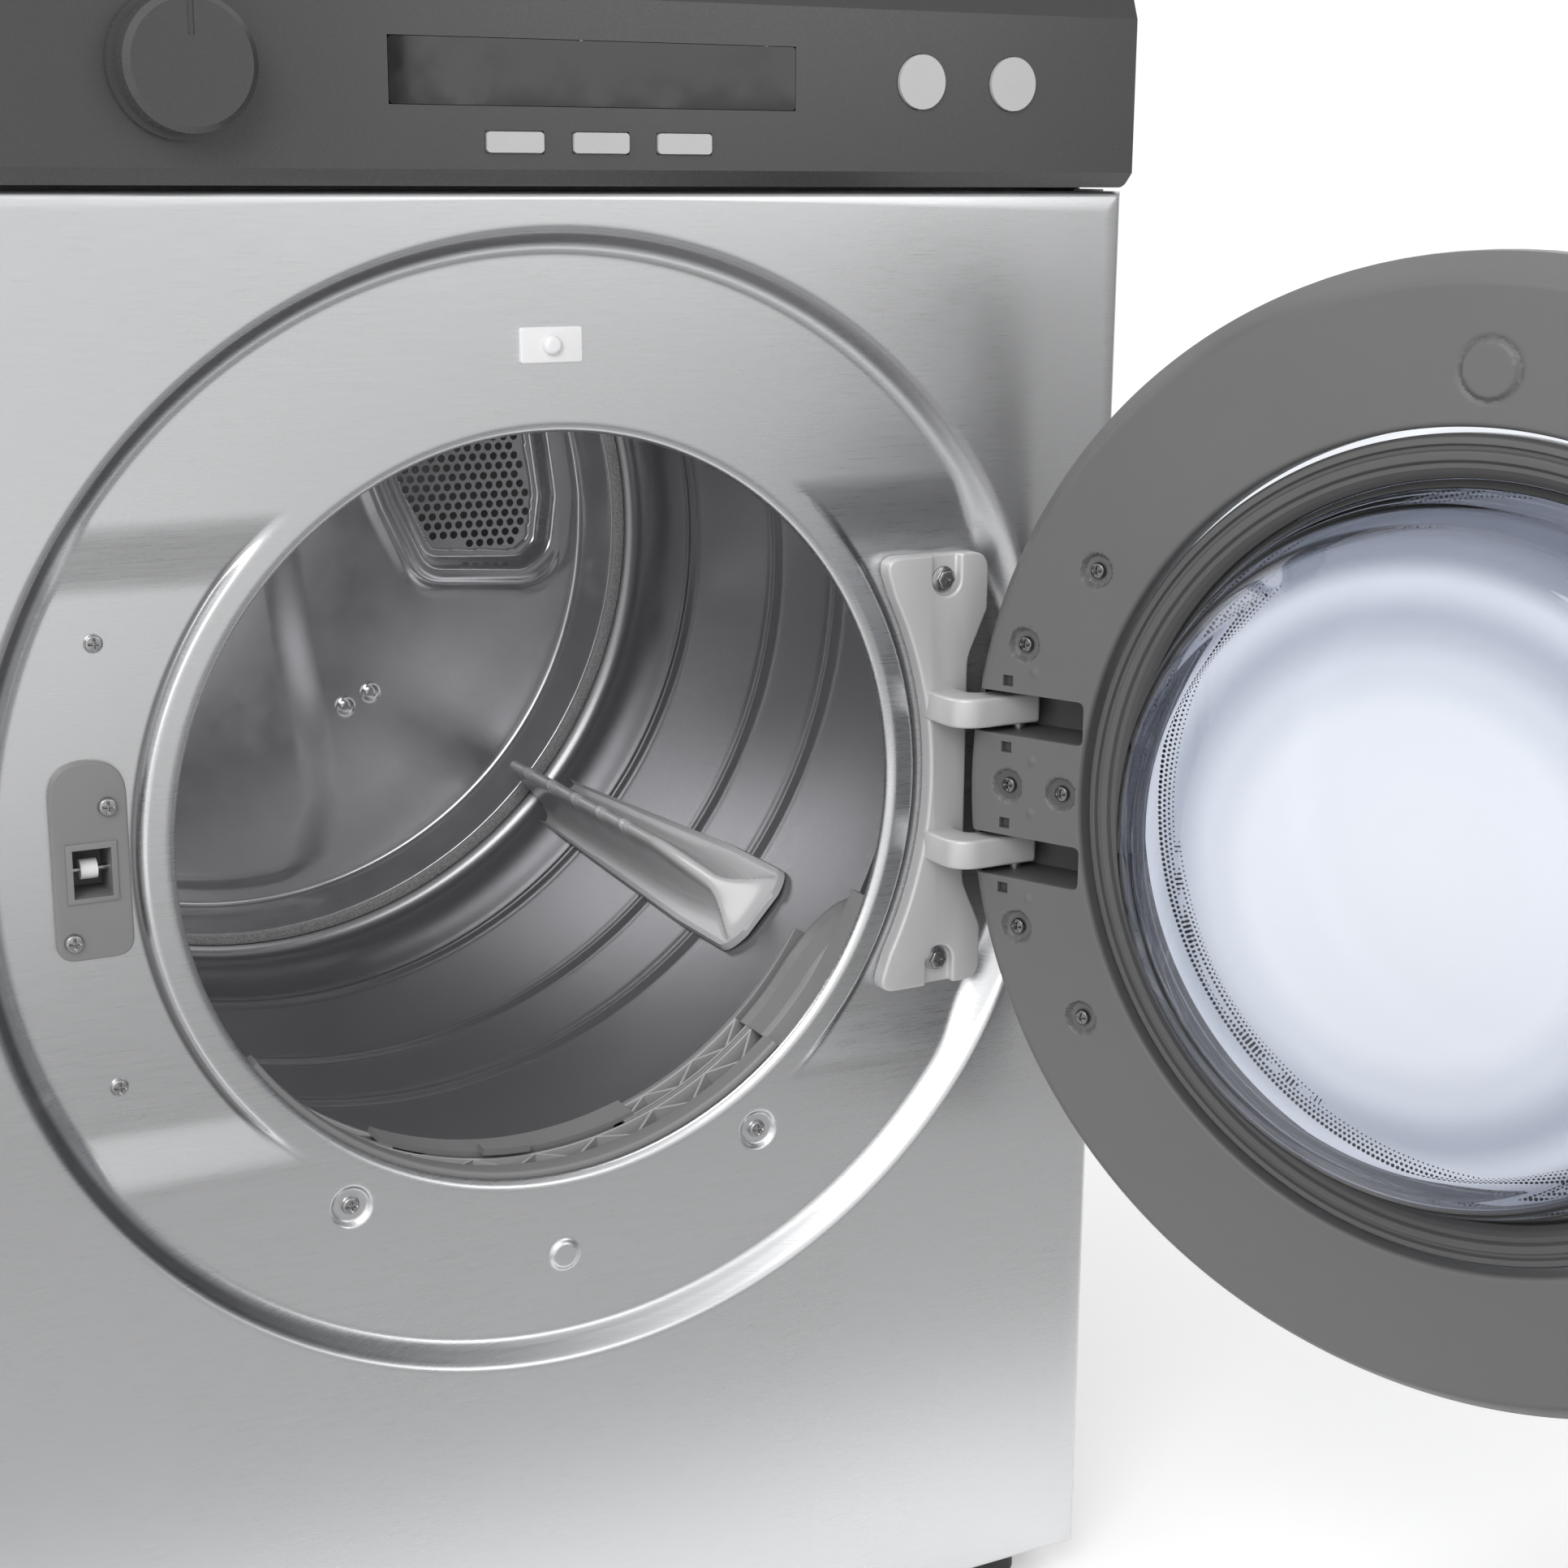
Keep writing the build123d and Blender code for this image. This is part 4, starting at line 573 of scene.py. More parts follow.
def paint_shade_on_bends(material):
    """Paint shade into the stainless sheet's colour: darker bands along the recess lip's upper left and the
    pocket's inner step, where the bends look dark.
    """
    nodes, links = material.node_tree.nodes, material.node_tree.links
    shader = nodes["Principled BSDF"]
    steel = shader.inputs["Base Color"].links[0].from_socket
    offset = vector_sum(nodes, links, "SUBTRACT", object_place(nodes), at(0, 0, 0))
    flat = vector_sum(nodes, links, "MULTIPLY", offset, (1, 0, 1))
    radius = vector_sum(nodes, links, "LENGTH", flat)
    lean = vector_sum(nodes, links, "DOT_PRODUCT", flat, (-0.75, 0, 0.66))
    side = map_range(nodes, links, lean, -0.16, 0.02, 0.0, 1.0)
    height = arithmetic(nodes, links, "ABSOLUTE", split_place(nodes, links, offset)["Z"])
    pocket = map_range(nodes, links, height, 0.165, 0.135, 0.0, 1.0)
    lip = band(nodes, links, radius, (RECESS_LIP_R - 3.5) * MM, 0.0055, side)
    step = band(nodes, links, radius, (POCKET_STEP_R + 2.5) * MM, 0.0030, pocket)
    darker = arithmetic(nodes, links, "MAXIMUM", lip, step)
    # painted shade: the steel colour is mixed towards near black inside the lip and step bands
    links.new(tone(nodes, links, darker, steel, (0.12, 0.12, 0.125)), shader.inputs["Base Color"])


def band(nodes, links, radius, centre, half, weight):
    """Soft ring of a given half width, times a weight."""
    away = arithmetic(nodes, links, "ABSOLUTE", arithmetic(nodes, links, "SUBTRACT", radius, centre))
    ring = map_range(nodes, links, away, half, half * 0.25, 0.0, 0.85)
    return arithmetic(nodes, links, "MULTIPLY", ring, weight)


def dress_cad_nodes():
    """Give every carried-over CAD node its material."""
    for node, obj in frame["nodes"].items():
        obj.data.materials.clear()
        # the hinge receiver gets a near-black colour instead of its slot's: painted shade for the square
        # holes
        own = "receiver_casting_painted_shade" if node == "hinge_receiver" else SLOTS[node]
        obj.data.materials.append(MATERIALS[own])
        for polygon in obj.data.polygons:
            polygon.material_index = 0


# ------------------------------------------------------------------ relief sheets
def sheet_mesh(name, x, z, depth, drop=None, thickness=1.0, rise=0.0):
    """Sheet from rings of points that run round an axis; faces with a dropped centre stay open."""
    rings, columns = x.shape
    points = np.stack([x * MM, FRONT_Y + depth * MM, OPEN_Z + (rise + z) * MM], axis=-1).reshape(-1, 3)
    faces = []
    for i in range(rings - 1):
        for j in range(columns):
            k = (j + 1) % columns
            if drop is not None and drop[i, j]:
                continue
            faces.append((i * columns + j, (i + 1) * columns + j, (i + 1) * columns + k, i * columns + k))
    mesh = bpy.data.meshes.new(name)
    mesh.from_pydata(points.tolist(), [], faces)
    mesh.polygons.foreach_set("use_smooth", [True] * len(mesh.polygons))
    obj = bpy.data.objects.new(name, mesh)
    bpy.context.scene.collection.objects.link(obj)
    bm = bmesh.new()
    bm.from_mesh(mesh)
    loose = [vert for vert in bm.verts if not vert.link_faces]
    bmesh.ops.delete(bm, geom=loose, context="VERTS")
    bmesh.ops.remove_doubles(bm, verts=bm.verts, dist=1e-7)
    bm.to_mesh(mesh)
    bm.free()
    wall = obj.modifiers.new("sheet", "SOLIDIFY")
    wall.thickness = thickness * MM
    wall.offset = -1
    return obj


def ring_grid(radii, columns):
    """X and Z arrays of concentric rings."""
    angle = np.arange(columns) * 2 * np.pi / columns
    radius = np.asarray(radii)[:, None]
    return radius * np.cos(angle)[None, :], radius * np.sin(angle)[None, :]


def signed_distance(x, z, outline):
    """Distance to a closed outline, positive inside."""
    px, pz = x.ravel(), z.ravel()
    nearest = np.full(px.shape, 1e9)
    inside = np.zeros(px.shape, dtype=bool)
    count = len(outline)
    for i in range(count):
        ax, az = outline[i]
        bx, bz = outline[(i + 1) % count]
        ex, ez = bx - ax, bz - az
        along = np.clip(((px - ax) * ex + (pz - az) * ez) / max(ex * ex + ez * ez, 1e-9), 0, 1)
        nearest = np.minimum(nearest, np.hypot(px - ax - along * ex, pz - az - along * ez))
        crosses = (az > pz) != (bz > pz)
        slope = np.where(abs(bz - az) > 1e-9, (bx - ax) / (bz - az if abs(bz - az) > 1e-9 else 1), 0)
        inside ^= crosses & (px < ax + (pz - az) * slope)
    return np.where(inside, nearest, -nearest).reshape(x.shape)


# ------------------------------------------------------------------ front panel
PANEL_SCREWS = ((-121.4, -198.8), (121.4, -198.8))
DIMPLE = (0.0, -250.8)
SWITCH_RISE = 249.2
LATCH_X = -246.0


def front_relief(x, z):
    """Depth of the pressed front: rounded lip, recess floor, side pockets, rim, cups and dimple."""
    r = np.hypot(x, z)
    wall = (RECESS_LIP_R - r) * RECESS_DEPTH / (RECESS_LIP_R - RECESS_FLOOR_R)
    pocket = ease((POCKET_END - np.abs(z)) / (POCKET_END - POCKET_FLAT)) * ease((r - POCKET_STEP_R + 2.5) / 5)
    floor = RECESS_DEPTH + (POCKET_DEPTH - RECESS_DEPTH) * pocket
    depth = soft_min(soft_max(wall, 0, 4.5), floor, 4.5)
    for sx, sz in PANEL_SCREWS:
        depth = depth + 3.0 * ease((12.0 - np.hypot(x - sx, z - sz)) / 3.0)
    depth = depth - 2.2 * ease((9.5 - np.hypot(x - DIMPLE[0], z - DIMPLE[1])) / 3.0)
    roll = np.clip((OPENING_R + OPENING_ROLL - r) / OPENING_ROLL, 0, 1)
    return depth + 5.0 * (1 - np.sqrt(1 - roll ** 2))


def front_sheet():
    """Stainless front in one sheet with the door recess pressed into it."""
    edge_x, low, high = HALF_WIDTH, PANEL_LOW, PANEL_HIGH
    corners = [math.atan2(h, s * edge_x) for h in (low, high) for s in (-1, 1)]
    angle = np.unique(np.round(np.concatenate([np.arange(1440) * 2 * np.pi / 1440 - np.pi, corners]), 9))
    radii = np.concatenate([OPENING_R + OPENING_ROLL * (1 - np.cos(np.linspace(0, np.pi / 2, 8)))[:-1],
                            np.arange(OPENING_R + OPENING_ROLL, 316.0, 1.1)])
    rows_x = [radius * np.cos(angle) for radius in radii]
    rows_z = [radius * np.sin(angle) for radius in radii]
    reach = np.minimum(edge_x / np.maximum(np.abs(np.cos(angle)), 1e-9),
                       np.where(np.sin(angle) > 0, high, -low) / np.maximum(np.abs(np.sin(angle)), 1e-9))
    corner_x, corner_z = reach * np.cos(angle), reach * np.sin(angle)
    bends = [(4.0, 0.0), (2.6, 0.3), (1.3, 1.1), (0.4, 2.4), (0.0, 4.0), (0.0, 17.5)]
    inner_x, inner_z = rows_x[-1], rows_z[-1]
    rim_x = np.clip(corner_x, -edge_x + 4, edge_x - 4)
    rim_z = np.clip(corner_z, low + 4, high - 4)
    for step in np.linspace(0, 1, 14)[1:-1]:
        rows_x.append(inner_x + (rim_x - inner_x) * step)
        rows_z.append(inner_z + (rim_z - inner_z) * step)
    x, z = np.array(rows_x), np.array(rows_z)
    depth = front_relief(x, z)
    for inset, sink in bends:
        bx = np.clip(corner_x, -edge_x + inset, edge_x - inset)
        bz = np.clip(corner_z, low + inset, high - inset)
        x, z = np.vstack([x, bx]), np.vstack([z, bz])
        depth = np.vstack([depth, np.full_like(bx, sink)])
    mid_x, mid_z = cell_centres(x), cell_centres(z)
    latch = (np.abs(mid_x - LATCH_X) < 11.5) & (mid_z > -13.5) & (mid_z < 14.5)
    switch = (np.abs(mid_x) < 12.6) & (np.abs(mid_z - SWITCH_RISE) < 6.6)
    sheet = sheet_mesh("front_sheet", x, z, depth, latch | switch)
    return finish_piece(sheet, "cabinet", "stainless_front", "front_panel")


def cell_centres(field):
    """Mean of each grid cell's four corners, with the columns joined in a ring."""
    around = np.roll(field, -1, axis=1)
    return (field[:-1] + field[1:] + around[:-1] + around[1:]) / 4


# ------------------------------------------------------------------ drum
DRUM_BEADS = (279.0, 366.0, 499.0)
DRUM_R = 318.5
DRUM_FRONT = 86.0
DRUM_REAR = 576.5
SHOULDER_START = 520.0
SHOULDER_R = 296.0


def drum_radius(depth):
    """Inner radius of the drum wall with its beads and rounded rear shoulder."""
    radius = DRUM_R
    for bead in DRUM_BEADS:
        radius -= 1.6 * math.exp(-((depth - bead) / 4.0) ** 2)
        radius += 0.5 * math.exp(-((abs(depth - bead) - 9.0) / 3.0) ** 2)
    if depth > SHOULDER_START:
        along = min(1.0, (depth - SHOULDER_START) / (DRUM_REAR - SHOULDER_START))
        radius -= (DRUM_R - SHOULDER_R) * (1 - math.sqrt(max(0.0, 1 - along ** 2.2)))
    return radius


def drum_shell():
    """Thin rolled drum wall."""
    depths = list(np.arange(DRUM_FRONT + 5, SHOULDER_START, 2.0))
    depths += list(SHOULDER_START + (DRUM_REAR - SHOULDER_START) * np.sin(np.linspace(0, np.pi / 2, 28)))
    inner = [(302.5, DRUM_FRONT + 1.5), (312.0, DRUM_FRONT + 1.4), (316.5, DRUM_FRONT + 2.6)]
    inner += [(drum_radius(d), d - (1.6 if d >= DRUM_REAR - 0.01 else 0)) for d in depths]
    outer = [(302.5, DRUM_FRONT + 0.1), (313.0, DRUM_FRONT + 0.1), (318.2, DRUM_FRONT + 1.4)]
    outer += [(drum_radius(d) + 1.4, d) for d in depths]
    shell = lathe("drum_shell", inner + outer[::-1], DRUM_RISE, 360)
    shade_by_angle(shell, 50)
    return finish_piece(shell, "drum", "drum_steel", "drum")


def felt_rings():
    """Felt rings with a rounded, slightly uneven pile."""
    rear = [(290.2, 0.8), (289.4, 3.5), (290.6, 8), (291.8, 10.2), (302, 10.2), (302, 0.8)]
    rear = [(radius, DRUM_REAR + behind) for radius, behind in rear]
    front = [(302, DRUM_FRONT - 5), (317, DRUM_FRONT - 5), (317, DRUM_FRONT - 0.7), (302, DRUM_FRONT - 0.7)]
    rings = [lathe("felt_a", soften(rear, 1.0, 3), DRUM_RISE, 720),
             lathe("felt_b", soften(front, 1.0, 3), DRUM_RISE, 180)]
    felt = join("felt_rings", rings)
    shade_by_angle(felt, 50)
    return finish_piece(felt, "cabinet", "felt", "felt_seals")


LIFTER_BASE_R = 315.2
LIFTER_TOP_R = 262.0
LIFTER_JOINTS = (352.0, 392.0, 436.0, 480.0, 524.0)


def lifter_section(depth):
    """Half width at the wall and height of the vane at a depth."""
    front = float(ease((depth - 224.0) / 84.0)) ** 0.8
    rear = math.sqrt(max(0.0, 1 - max(0.0, (depth - 556.0) / 13.5) ** 2))
    height = (LIFTER_BASE_R - LIFTER_TOP_R) * front * rear
    for joint in LIFTER_JOINTS:
        height += (1.6 * math.exp(-((abs(depth - joint) - 4.0) / 2.2) ** 2) -
                   1.6 * math.exp(-((depth - joint) / 1.6) ** 2)) * front
    half = 33.0 - 12.0 * min(1.0, max(0.0, (depth - 300.0) / 250.0))
    end = min(1.0, max(0.0, (depth - 222.0) / 14.0))
    return half * math.sqrt(1 - (1 - end) ** 2 * 0.75), max(height, 0.6)


def lifter(angle):
    """One hollow tumbling vane: rounded ridge, hollow flanks and a flange on the drum wall."""
    steps = 24
    theta = math.radians(angle)
    stations = np.concatenate([np.arange(222.0, 545.0, 1.0), np.linspace(545.0, 569.4, 40)])
    rows = []
    for depth in stations:
        half, height = lifter_section(depth)
        row = []
        for side in range(-steps, steps + 1):
            t = abs(side) / steps
            across = math.copysign(half * t, side)
            scoop = float(ease((262.0 - depth) / 36.0))
            ridge = min(0.9, (5.2 + (half - 12.0) * scoop) / half)
            if t < ridge:
                lift = height * (1 - 0.14 * (t / ridge) ** 3)
            else:
                fall = (t - ridge) / (1 - ridge)
                lift = height * 0.86 * (1 - fall) ** 6.0 + 2.6 * math.exp(-((t - 0.95) / 0.04) ** 2)
            row.append((across, LIFTER_BASE_R - max(lift, 0.0) - (1.8 if t < 0.97 else 0.4)))
        rows.append(row + [(half, LIFTER_BASE_R + 1.2), (-half, LIFTER_BASE_R + 1.2)])
    columns = len(rows[0])
    points = []
    for depth, row in zip(stations, rows):
        for across, r in row:
            points.append(at(r * math.cos(theta) - across * math.sin(theta), float(depth),
                             DRUM_RISE + r * math.sin(theta) + across * math.cos(theta)))
    faces = grid_faces(len(rows), columns, False, True)
    faces.append(tuple(range(columns)))
    last = (len(rows) - 1) * columns
    faces.append(tuple(reversed(range(last, last + columns))))
    obj = mesh_object("lifter", points, faces)
    tidy(obj)
    shade_by_angle(obj, 45)
    return obj


def lifters():
    """The drum's three vanes."""
    vanes = join("lifters", [lifter(-42.5 + 120.0 * i) for i in range(3)])
    return finish_piece(vanes, "drum", "lifter_plastic", "drum_lifters")


# ------------------------------------------------------------------ rear wall of the drum
GRILLE_OUTLINE = [(144, 30), (236, 24), (260, 44), (266, 90), (258, 150), (215, 222), (150, 250), (100, 215),
                  (94, 150), (117, 88)]
PANEL_EDGE_Z = (-205, -190, -174, -130, -80, -14, 150, 300)
PANEL_EDGE_X = (10, 40, 55, 66, 60, 49, 30, 10)


def rear_relief(x, z):
    """Depth of the rear wall; z is measured from the drum's axis."""
    r = np.hypot(x, z)
    height = z + DRUM_RISE
    slope = (r - DISH_R) / (291.0 - DISH_R) * 30.0
    depth = DISH_DEPTH - np.clip(soft_max(slope, 0, 8), 0, 30.0)
    edge = np.interp(height, PANEL_EDGE_Z, PANEL_EDGE_X)
    inner = ease((262.0 - r) / 10.0)
    depth = depth - 3.0 * ease((edge + 12.0 - x) / 34.0) * ease((268.0 - r) / 16.0)
    for bx, bz in ((82, -61), (102, -52)):
        depth = depth - 2.5 * ease((8.0 - np.hypot(x - bx, height - bz)) / 5.0)
    within = signed_distance(x, height, soften(GRILLE_OUTLINE, 32, 8))
    frame = np.exp(-((within + 1.0) / 3.4) ** 2)
    recess = np.clip((within - 9.0) / 9.0, 0, 1)
    around = ease((within + 14.0) / 10.0)
    depth = depth * (1 - around) + (DISH_DEPTH - 1.0) * around
    depth = depth - 2.4 * frame * inner
    return depth + 15.0 * ease(recess), within


def rear_wall():
    """Stamped rear wall with the framed recess of the air grille."""
    radii = np.concatenate([np.arange(0.5, 276.0, 1.5), np.linspace(276.0, 293.0, 24), [298.0, 303.0]])
    x, z = ring_grid(radii, 1080)
    depth, within = rear_relief(x, z)
    drop = cell_centres(within) > 23.0
    wall = sheet_mesh("rear_wall", x, z, depth, drop, 1.0, DRUM_RISE)
    return finish_piece(wall, "cabinet", "bulkhead_steel", "rear_bulkhead")


# ------------------------------------------------------------------ hinge
BRACKET_ARC_R = 229.0
HINGE_SCREW = (237.4, 112.2)


def bracket_outline():
    """Waisted outline of the hinge bracket with its hollow left side."""
    upper = [(196, 127), (265, 127), (265, 94), (252.5, 66)]
    points = upper + [(px, -pz) for px, pz in reversed(upper)]
    radii = [20, 11, 14, 22, 22, 14, 11, 20]
    arc = [(BRACKET_ARC_R * math.cos(a), BRACKET_ARC_R * math.sin(a)) for a in np.linspace(-0.47, 0.47, 41)]
    return soften(points + arc, radii + [0] * len(arc), 7)


def rounded_bar(name, outline, z0, z1, rounding):
    """Plan outline (x, depth) carried up from z0 to z1 with its rims rounded."""
    bm = bmesh.new()
    low = [bm.verts.new(at(px, pd, z0)) for px, pd in outline]
    high = [bm.verts.new(at(px, pd, z1)) for px, pd in outline]
    count = len(outline)
    caps = [bm.faces.new(low), bm.faces.new(high)]
    for i in range(count):
        j = (i + 1) % count
        bm.faces.new((low[i], low[j], high[j], high[i]))
    bmesh.ops.recalc_face_normals(bm, faces=bm.faces)
    rims = [edge for cap in caps for edge in cap.edges]
    bmesh.ops.bevel(bm, geom=rims, offset=rounding * MM, segments=4, profile=0.5, affect="EDGES",
                    clamp_overlap=True)
    return object_from(bm, name, 35)


def hinge_arm(z):
    """Curved arm from the bracket to the pin."""
    plan = [(226, 12), (226, -26), (281, -26), (281, -8), (245, -8), (245, 12)]
    return rounded_bar("hinge_arm", soften(plan, [0, 19, 3, 3, 9, 0], 8), z - 8.5, z + 8.5, 2.0)


def screw_pocket(side):
    """U-shaped space round a hinge bolt, open to the bracket's end."""
    x, z = HINGE_SCREW
    arc = [(x + 9 * math.cos(a), side * (z + 9 * math.sin(a))) for a in np.linspace(-math.pi, 0, 17)]
    shape = arc + [(x + 9, side * 140), (x - 9, side * 140)]
    return prism("pocket", shape, 2, 12)


def hinge_bracket():
    """Cast bracket with two arms; rims rounded."""
    body = prism("bracket_body", bracket_outline(), 7.0, POCKET_DEPTH)
    for side in (-1, 1):
        boolean(body, screw_pocket(side))
    soft = body.modifiers.new("soft", "BEVEL")
    soft.width = 1.8 * MM
    soft.segments = 4
    soft.limit_method = "ANGLE"
    soft.angle_limit = math.radians(50)
    bpy.context.view_layer.update()
    apply_modifiers(body)
    tidy(body)
    bracket = join("bracket", [body, hinge_arm(41.0), hinge_arm(-41.0)])
    shade_by_angle(bracket, 35)
    return finish_piece(bracket, "cabinet", "hinge_casting", "hinge_bracket")


# ------------------------------------------------------------------ door, drawn shut
DOOR_FACE = 5.4
DOOR_SCREWS = ((212, 127), (212, -127), (256, 81.5), (256, -81.5), (264.5, 0), (230, 0))
SQUARE_HOLES = (60.0, 22.0, -22.0, -60.0)
PIPS = (66.5, 16.0, -14.0, -64.0)
PAD_RISE = 245.5
ARM_SLOTS = ((29.0, 53.5), (-53.5, -29.0))
SLOT_X = 217.0
RIM_R = 5.2
TINT_AND_SHADE_R = 200.0
# glass colour by radius: the pale blue-grey middle is the glass's own tint; the darker rings further out are
# painted shade
BOWL_TINT_AND_SHADE = ((0.0, (0.86, 0.88, 0.91)), (0.42, (0.84, 0.86, 0.90)), (0.54, (0.72, 0.745, 0.81)),
             (0.66, (0.48, 0.51, 0.59)), (0.74, (0.70, 0.725, 0.80)), (0.81, (0.30, 0.32, 0.39)),
             (0.88, (0.20, 0.215, 0.27)), (0.95, (0.30, 0.32, 0.38)))


def door_path():
    """Radius and depth of the inner frame's show side, from the glass seat out to the rim."""
    path = [(217.5, -11.9), (217.5, 2.4)]
    path += [(220.5 - 3 * math.cos(a), 2.4 + 3 * math.sin(a)) for a in np.linspace(0.2, np.pi / 2, 6)]
    path += [(r, DOOR_FACE) for r in np.arange(222.0, 285.0, 1.1)]
    path += [(285.0 + RIM_R * math.sin(a), DOOR_FACE - RIM_R * (1 - math.cos(a)))
             for a in np.linspace(0, 1.05, 8)]
    path += [(290.6, 1.6), (293.2, -2.4), (296.6, -8.0), (299.4, -12.6), (301.0, -15.5)]
    return path


def door_relief(x, z, depth, flat):
    """Cups, pips and the round pad on the flat of the door's inner face."""
    for sx, sz in DOOR_SCREWS:
        depth = depth - flat * 3.8 * ease((9.8 - np.hypot(x - sx, z - sz)) / 1.7)
    for pz in PIPS:
        depth = depth + flat * 0.9 * ease((3.0 - np.hypot(x - 249, z - pz)) / 1.8)
    pad = np.hypot(x, z - PAD_RISE)
    return depth + flat * (1.3 * ease((14.4 - pad) / 1.1) - 1.2 * np.exp(-((pad - 15.6) / 0.9) ** 2))


def door_face():
    """Inner frame of the door as one moulding."""
    path = np.array(door_path())
    x, z = ring_grid(path[:, 0], 1080)
    depth = np.repeat(path[:, 1][:, None], x.shape[1], axis=1)
    r = np.hypot(x, z)
    flat = ((r > 221) & (r < 285.5)).astype(float)
    depth = door_relief(x, z, depth, flat)
    sheet = sheet_mesh("door_face", x, z, depth, None, 2.6)
    sheet.data.flip_normals()
    apply_modifiers(sheet)
    for low, high in ARM_SLOTS:
        shape = soften([(SLOT_X, low), (340, low), (340, high), (SLOT_X, high)], [4, 0, 0, 4], 4)
        boolean(sheet, prism("slot", shape, -17.0, 20.0))
    for hz in SQUARE_HOLES:
        boolean(sheet, block("hole", (262.6, 269.2), (-4, 12), (hz - 3.1, hz + 3.1)))
    boolean(sheet, block("catch_gap", (LATCH_X - 7, LATCH_X + 7), (0, 12), (-12, 12)))
    shade_by_angle(sheet, 38)
    swing_door(sheet)
    return finish_piece(sheet, "door", "door_plastic", "door_inner_frame")


def hole_shade_plates():
    """Near-black plates at the bottoms of the four square holes beside the hinge: painted shade for the
    holes.
    """
    shade_plates = [block("shade_plate", (262.4, 269.4), (2.0, 2.5), (z - 3.3, z + 3.3)) for z in SQUARE_HOLES]
    shade_plates = swing_door(join("hole_shade_plates", shade_plates))
    return finish_piece(shade_plates, "door", "catch_plastic")


def door_glass():
    """Pressed glass bowl with smooth shoulders."""
    outer = [(214, -6.0), (191.5, -6.0), (187.6, -1.0), (181.5, 24.0), (173.0, 43.5), (158.0, 54.0),
             (125.0, 59.5), (60.0, 61.6), (0.02, 62.0)]
    inner = [(0.02, 57.4), (60.0, 57.0), (124.0, 54.9), (155.0, 49.6), (168.6, 40.0), (177.0, 22.0),
             (182.6, -4.0), (184.4, -11.8), (214, -11.8)]
    outer = soften(outer, [0.8, 3, 6, 40, 18, 26, 60, 60, 0], 8, closed=False)
    inner = soften(inner, [0, 60, 60, 24, 16, 36, 6, 3, 0.8], 8, closed=False)
    glass = lathe("glass_bowl", outer + inner, 0.0, 360)
    shade_by_angle(glass, 50)
    swing_door(glass)
    tint_and_shade = tint_with_painted_shade_rings("bowl_glass", BOWL_TINT_AND_SHADE)
    return finish_piece(glass, "door", "window_glass", "door_glass", material=tint_and_shade)


def door_seal():
    """Grey rubber ring round the glass with its stepped lips."""
    shape = [(191.6, -5.7), (214.2, -5.7), (214.2, -0.2), (212.6, 2.6), (209.4, 3.3), (208.4, 0.8),
             (206.6, 0.8), (205.6, 3.5), (201.5, 3.4), (200.0, 1.2), (197.6, 1.4), (194.8, -0.4),
             (192.2, -2.6)]
    radii = [0.3, 0.3, 1, 1.2, 0.7, 0.4, 0.4, 0.9, 1, 0.6, 0.8, 2, 1.5]
    ring = lathe("seal", soften(shape, radii, 5), 0.0, 360)
    shade_by_angle(ring, 40)
    swing_door(ring)
    return finish_piece(ring, "door", "seal_rubber", "door_seal_ring")


def groove_shade_ring():
    """Black ring between the rubber ring and the bowl: painted shade for the dark groove there."""
    shape = [(191.45, -5.5), (191.3, -3.2), (188.9, 0.4), (187.9, 0.2), (190.0, -3.4), (190.6, -5.5)]
    shade_ring = lathe("groove_shade_ring", shape, 0.0, 360)
    shade_by_angle(shade_ring, 50)
    swing_door(shade_ring)
    return finish_piece(shade_ring, "door", "catch_plastic")


def frit_dots():
    """Printed dot band round the outer window."""
    points, faces = [], []
    for row, (radius, dot) in enumerate(((189.0, 1.15), (186.0, 0.95), (183.2, 0.75), (180.6, 0.5))):
        count = 400
        for i in range(count):
            angle = 2 * math.pi * (i + 0.5 * (row % 2)) / count
            cx, cz = radius * math.cos(angle), radius * math.sin(angle)
            base = len(points)
            for depth in (-35.9, -35.6):
                for k in range(6):
                    b = math.pi * k / 3
                    points.append(at(cx + dot * math.cos(b), depth, cz + dot * math.sin(b)))
            faces.append(tuple(range(base, base + 6)))
            faces.append(tuple(reversed(range(base + 6, base + 12))))
            for k in range(6):
                n = (k + 1) % 6
                faces.append((base + k, base + 6 + k, base + 6 + n, base + n))
    dots = mesh_object("frit_dots", points, faces, smooth=False)
    tidy(dots)
    swing_door(dots)
    return finish_piece(dots, "door", "catch_plastic")


# ------------------------------------------------------------------ screws
def pan_head(x, z, seat, radius, rise):
    """Pan head with a cross recess."""
    rings = 14
    columns = 48
    points = [at(x, seat - rise * 0.55, z)]
    for i in range(1, rings + 1):
        t = i / rings
        for j in range(columns):
            a = 2 * math.pi * j / columns
            px, pz = radius * t * math.cos(a), radius * t * math.sin(a)
            height = rise * (1 - 0.12 * t ** 2) if t < 0.8 else rise * (0.923 - 0.85 * ((t - 0.8) / 0.2) ** 2)
            arm = min(abs(px), abs(pz))
            slot = max(0.0, 1 - (arm / (radius * 0.13)) ** 4) * max(0.0, 1 - (t / 0.62) ** 6)
            points.append(at(x + px, seat - height + slot * rise * 0.45, z + pz))
    faces = [(0, 1 + j, 1 + (j + 1) % columns) for j in range(columns)]
    for i in range(rings - 1):
        a, b = 1 + i * columns, 1 + (i + 1) * columns
        faces += [(a + j, b + j, b + (j + 1) % columns, a + (j + 1) % columns) for j in range(columns)]
    skirt = len(points)
    for j in range(columns):
        a = 2 * math.pi * j / columns
        points.append(at(x + radius * math.cos(a), seat + 0.2, z + radius * math.sin(a)))
    last = 1 + (rings - 1) * columns
    faces += [(last + j, skirt + j, skirt + (j + 1) % columns, last + (j + 1) % columns)
              for j in range(columns)]
    faces.append(tuple(reversed(range(skirt, skirt + columns))))
    head = mesh_object("head", points, faces)
    tidy(head)
    shade_by_angle(head, 40)
    return head


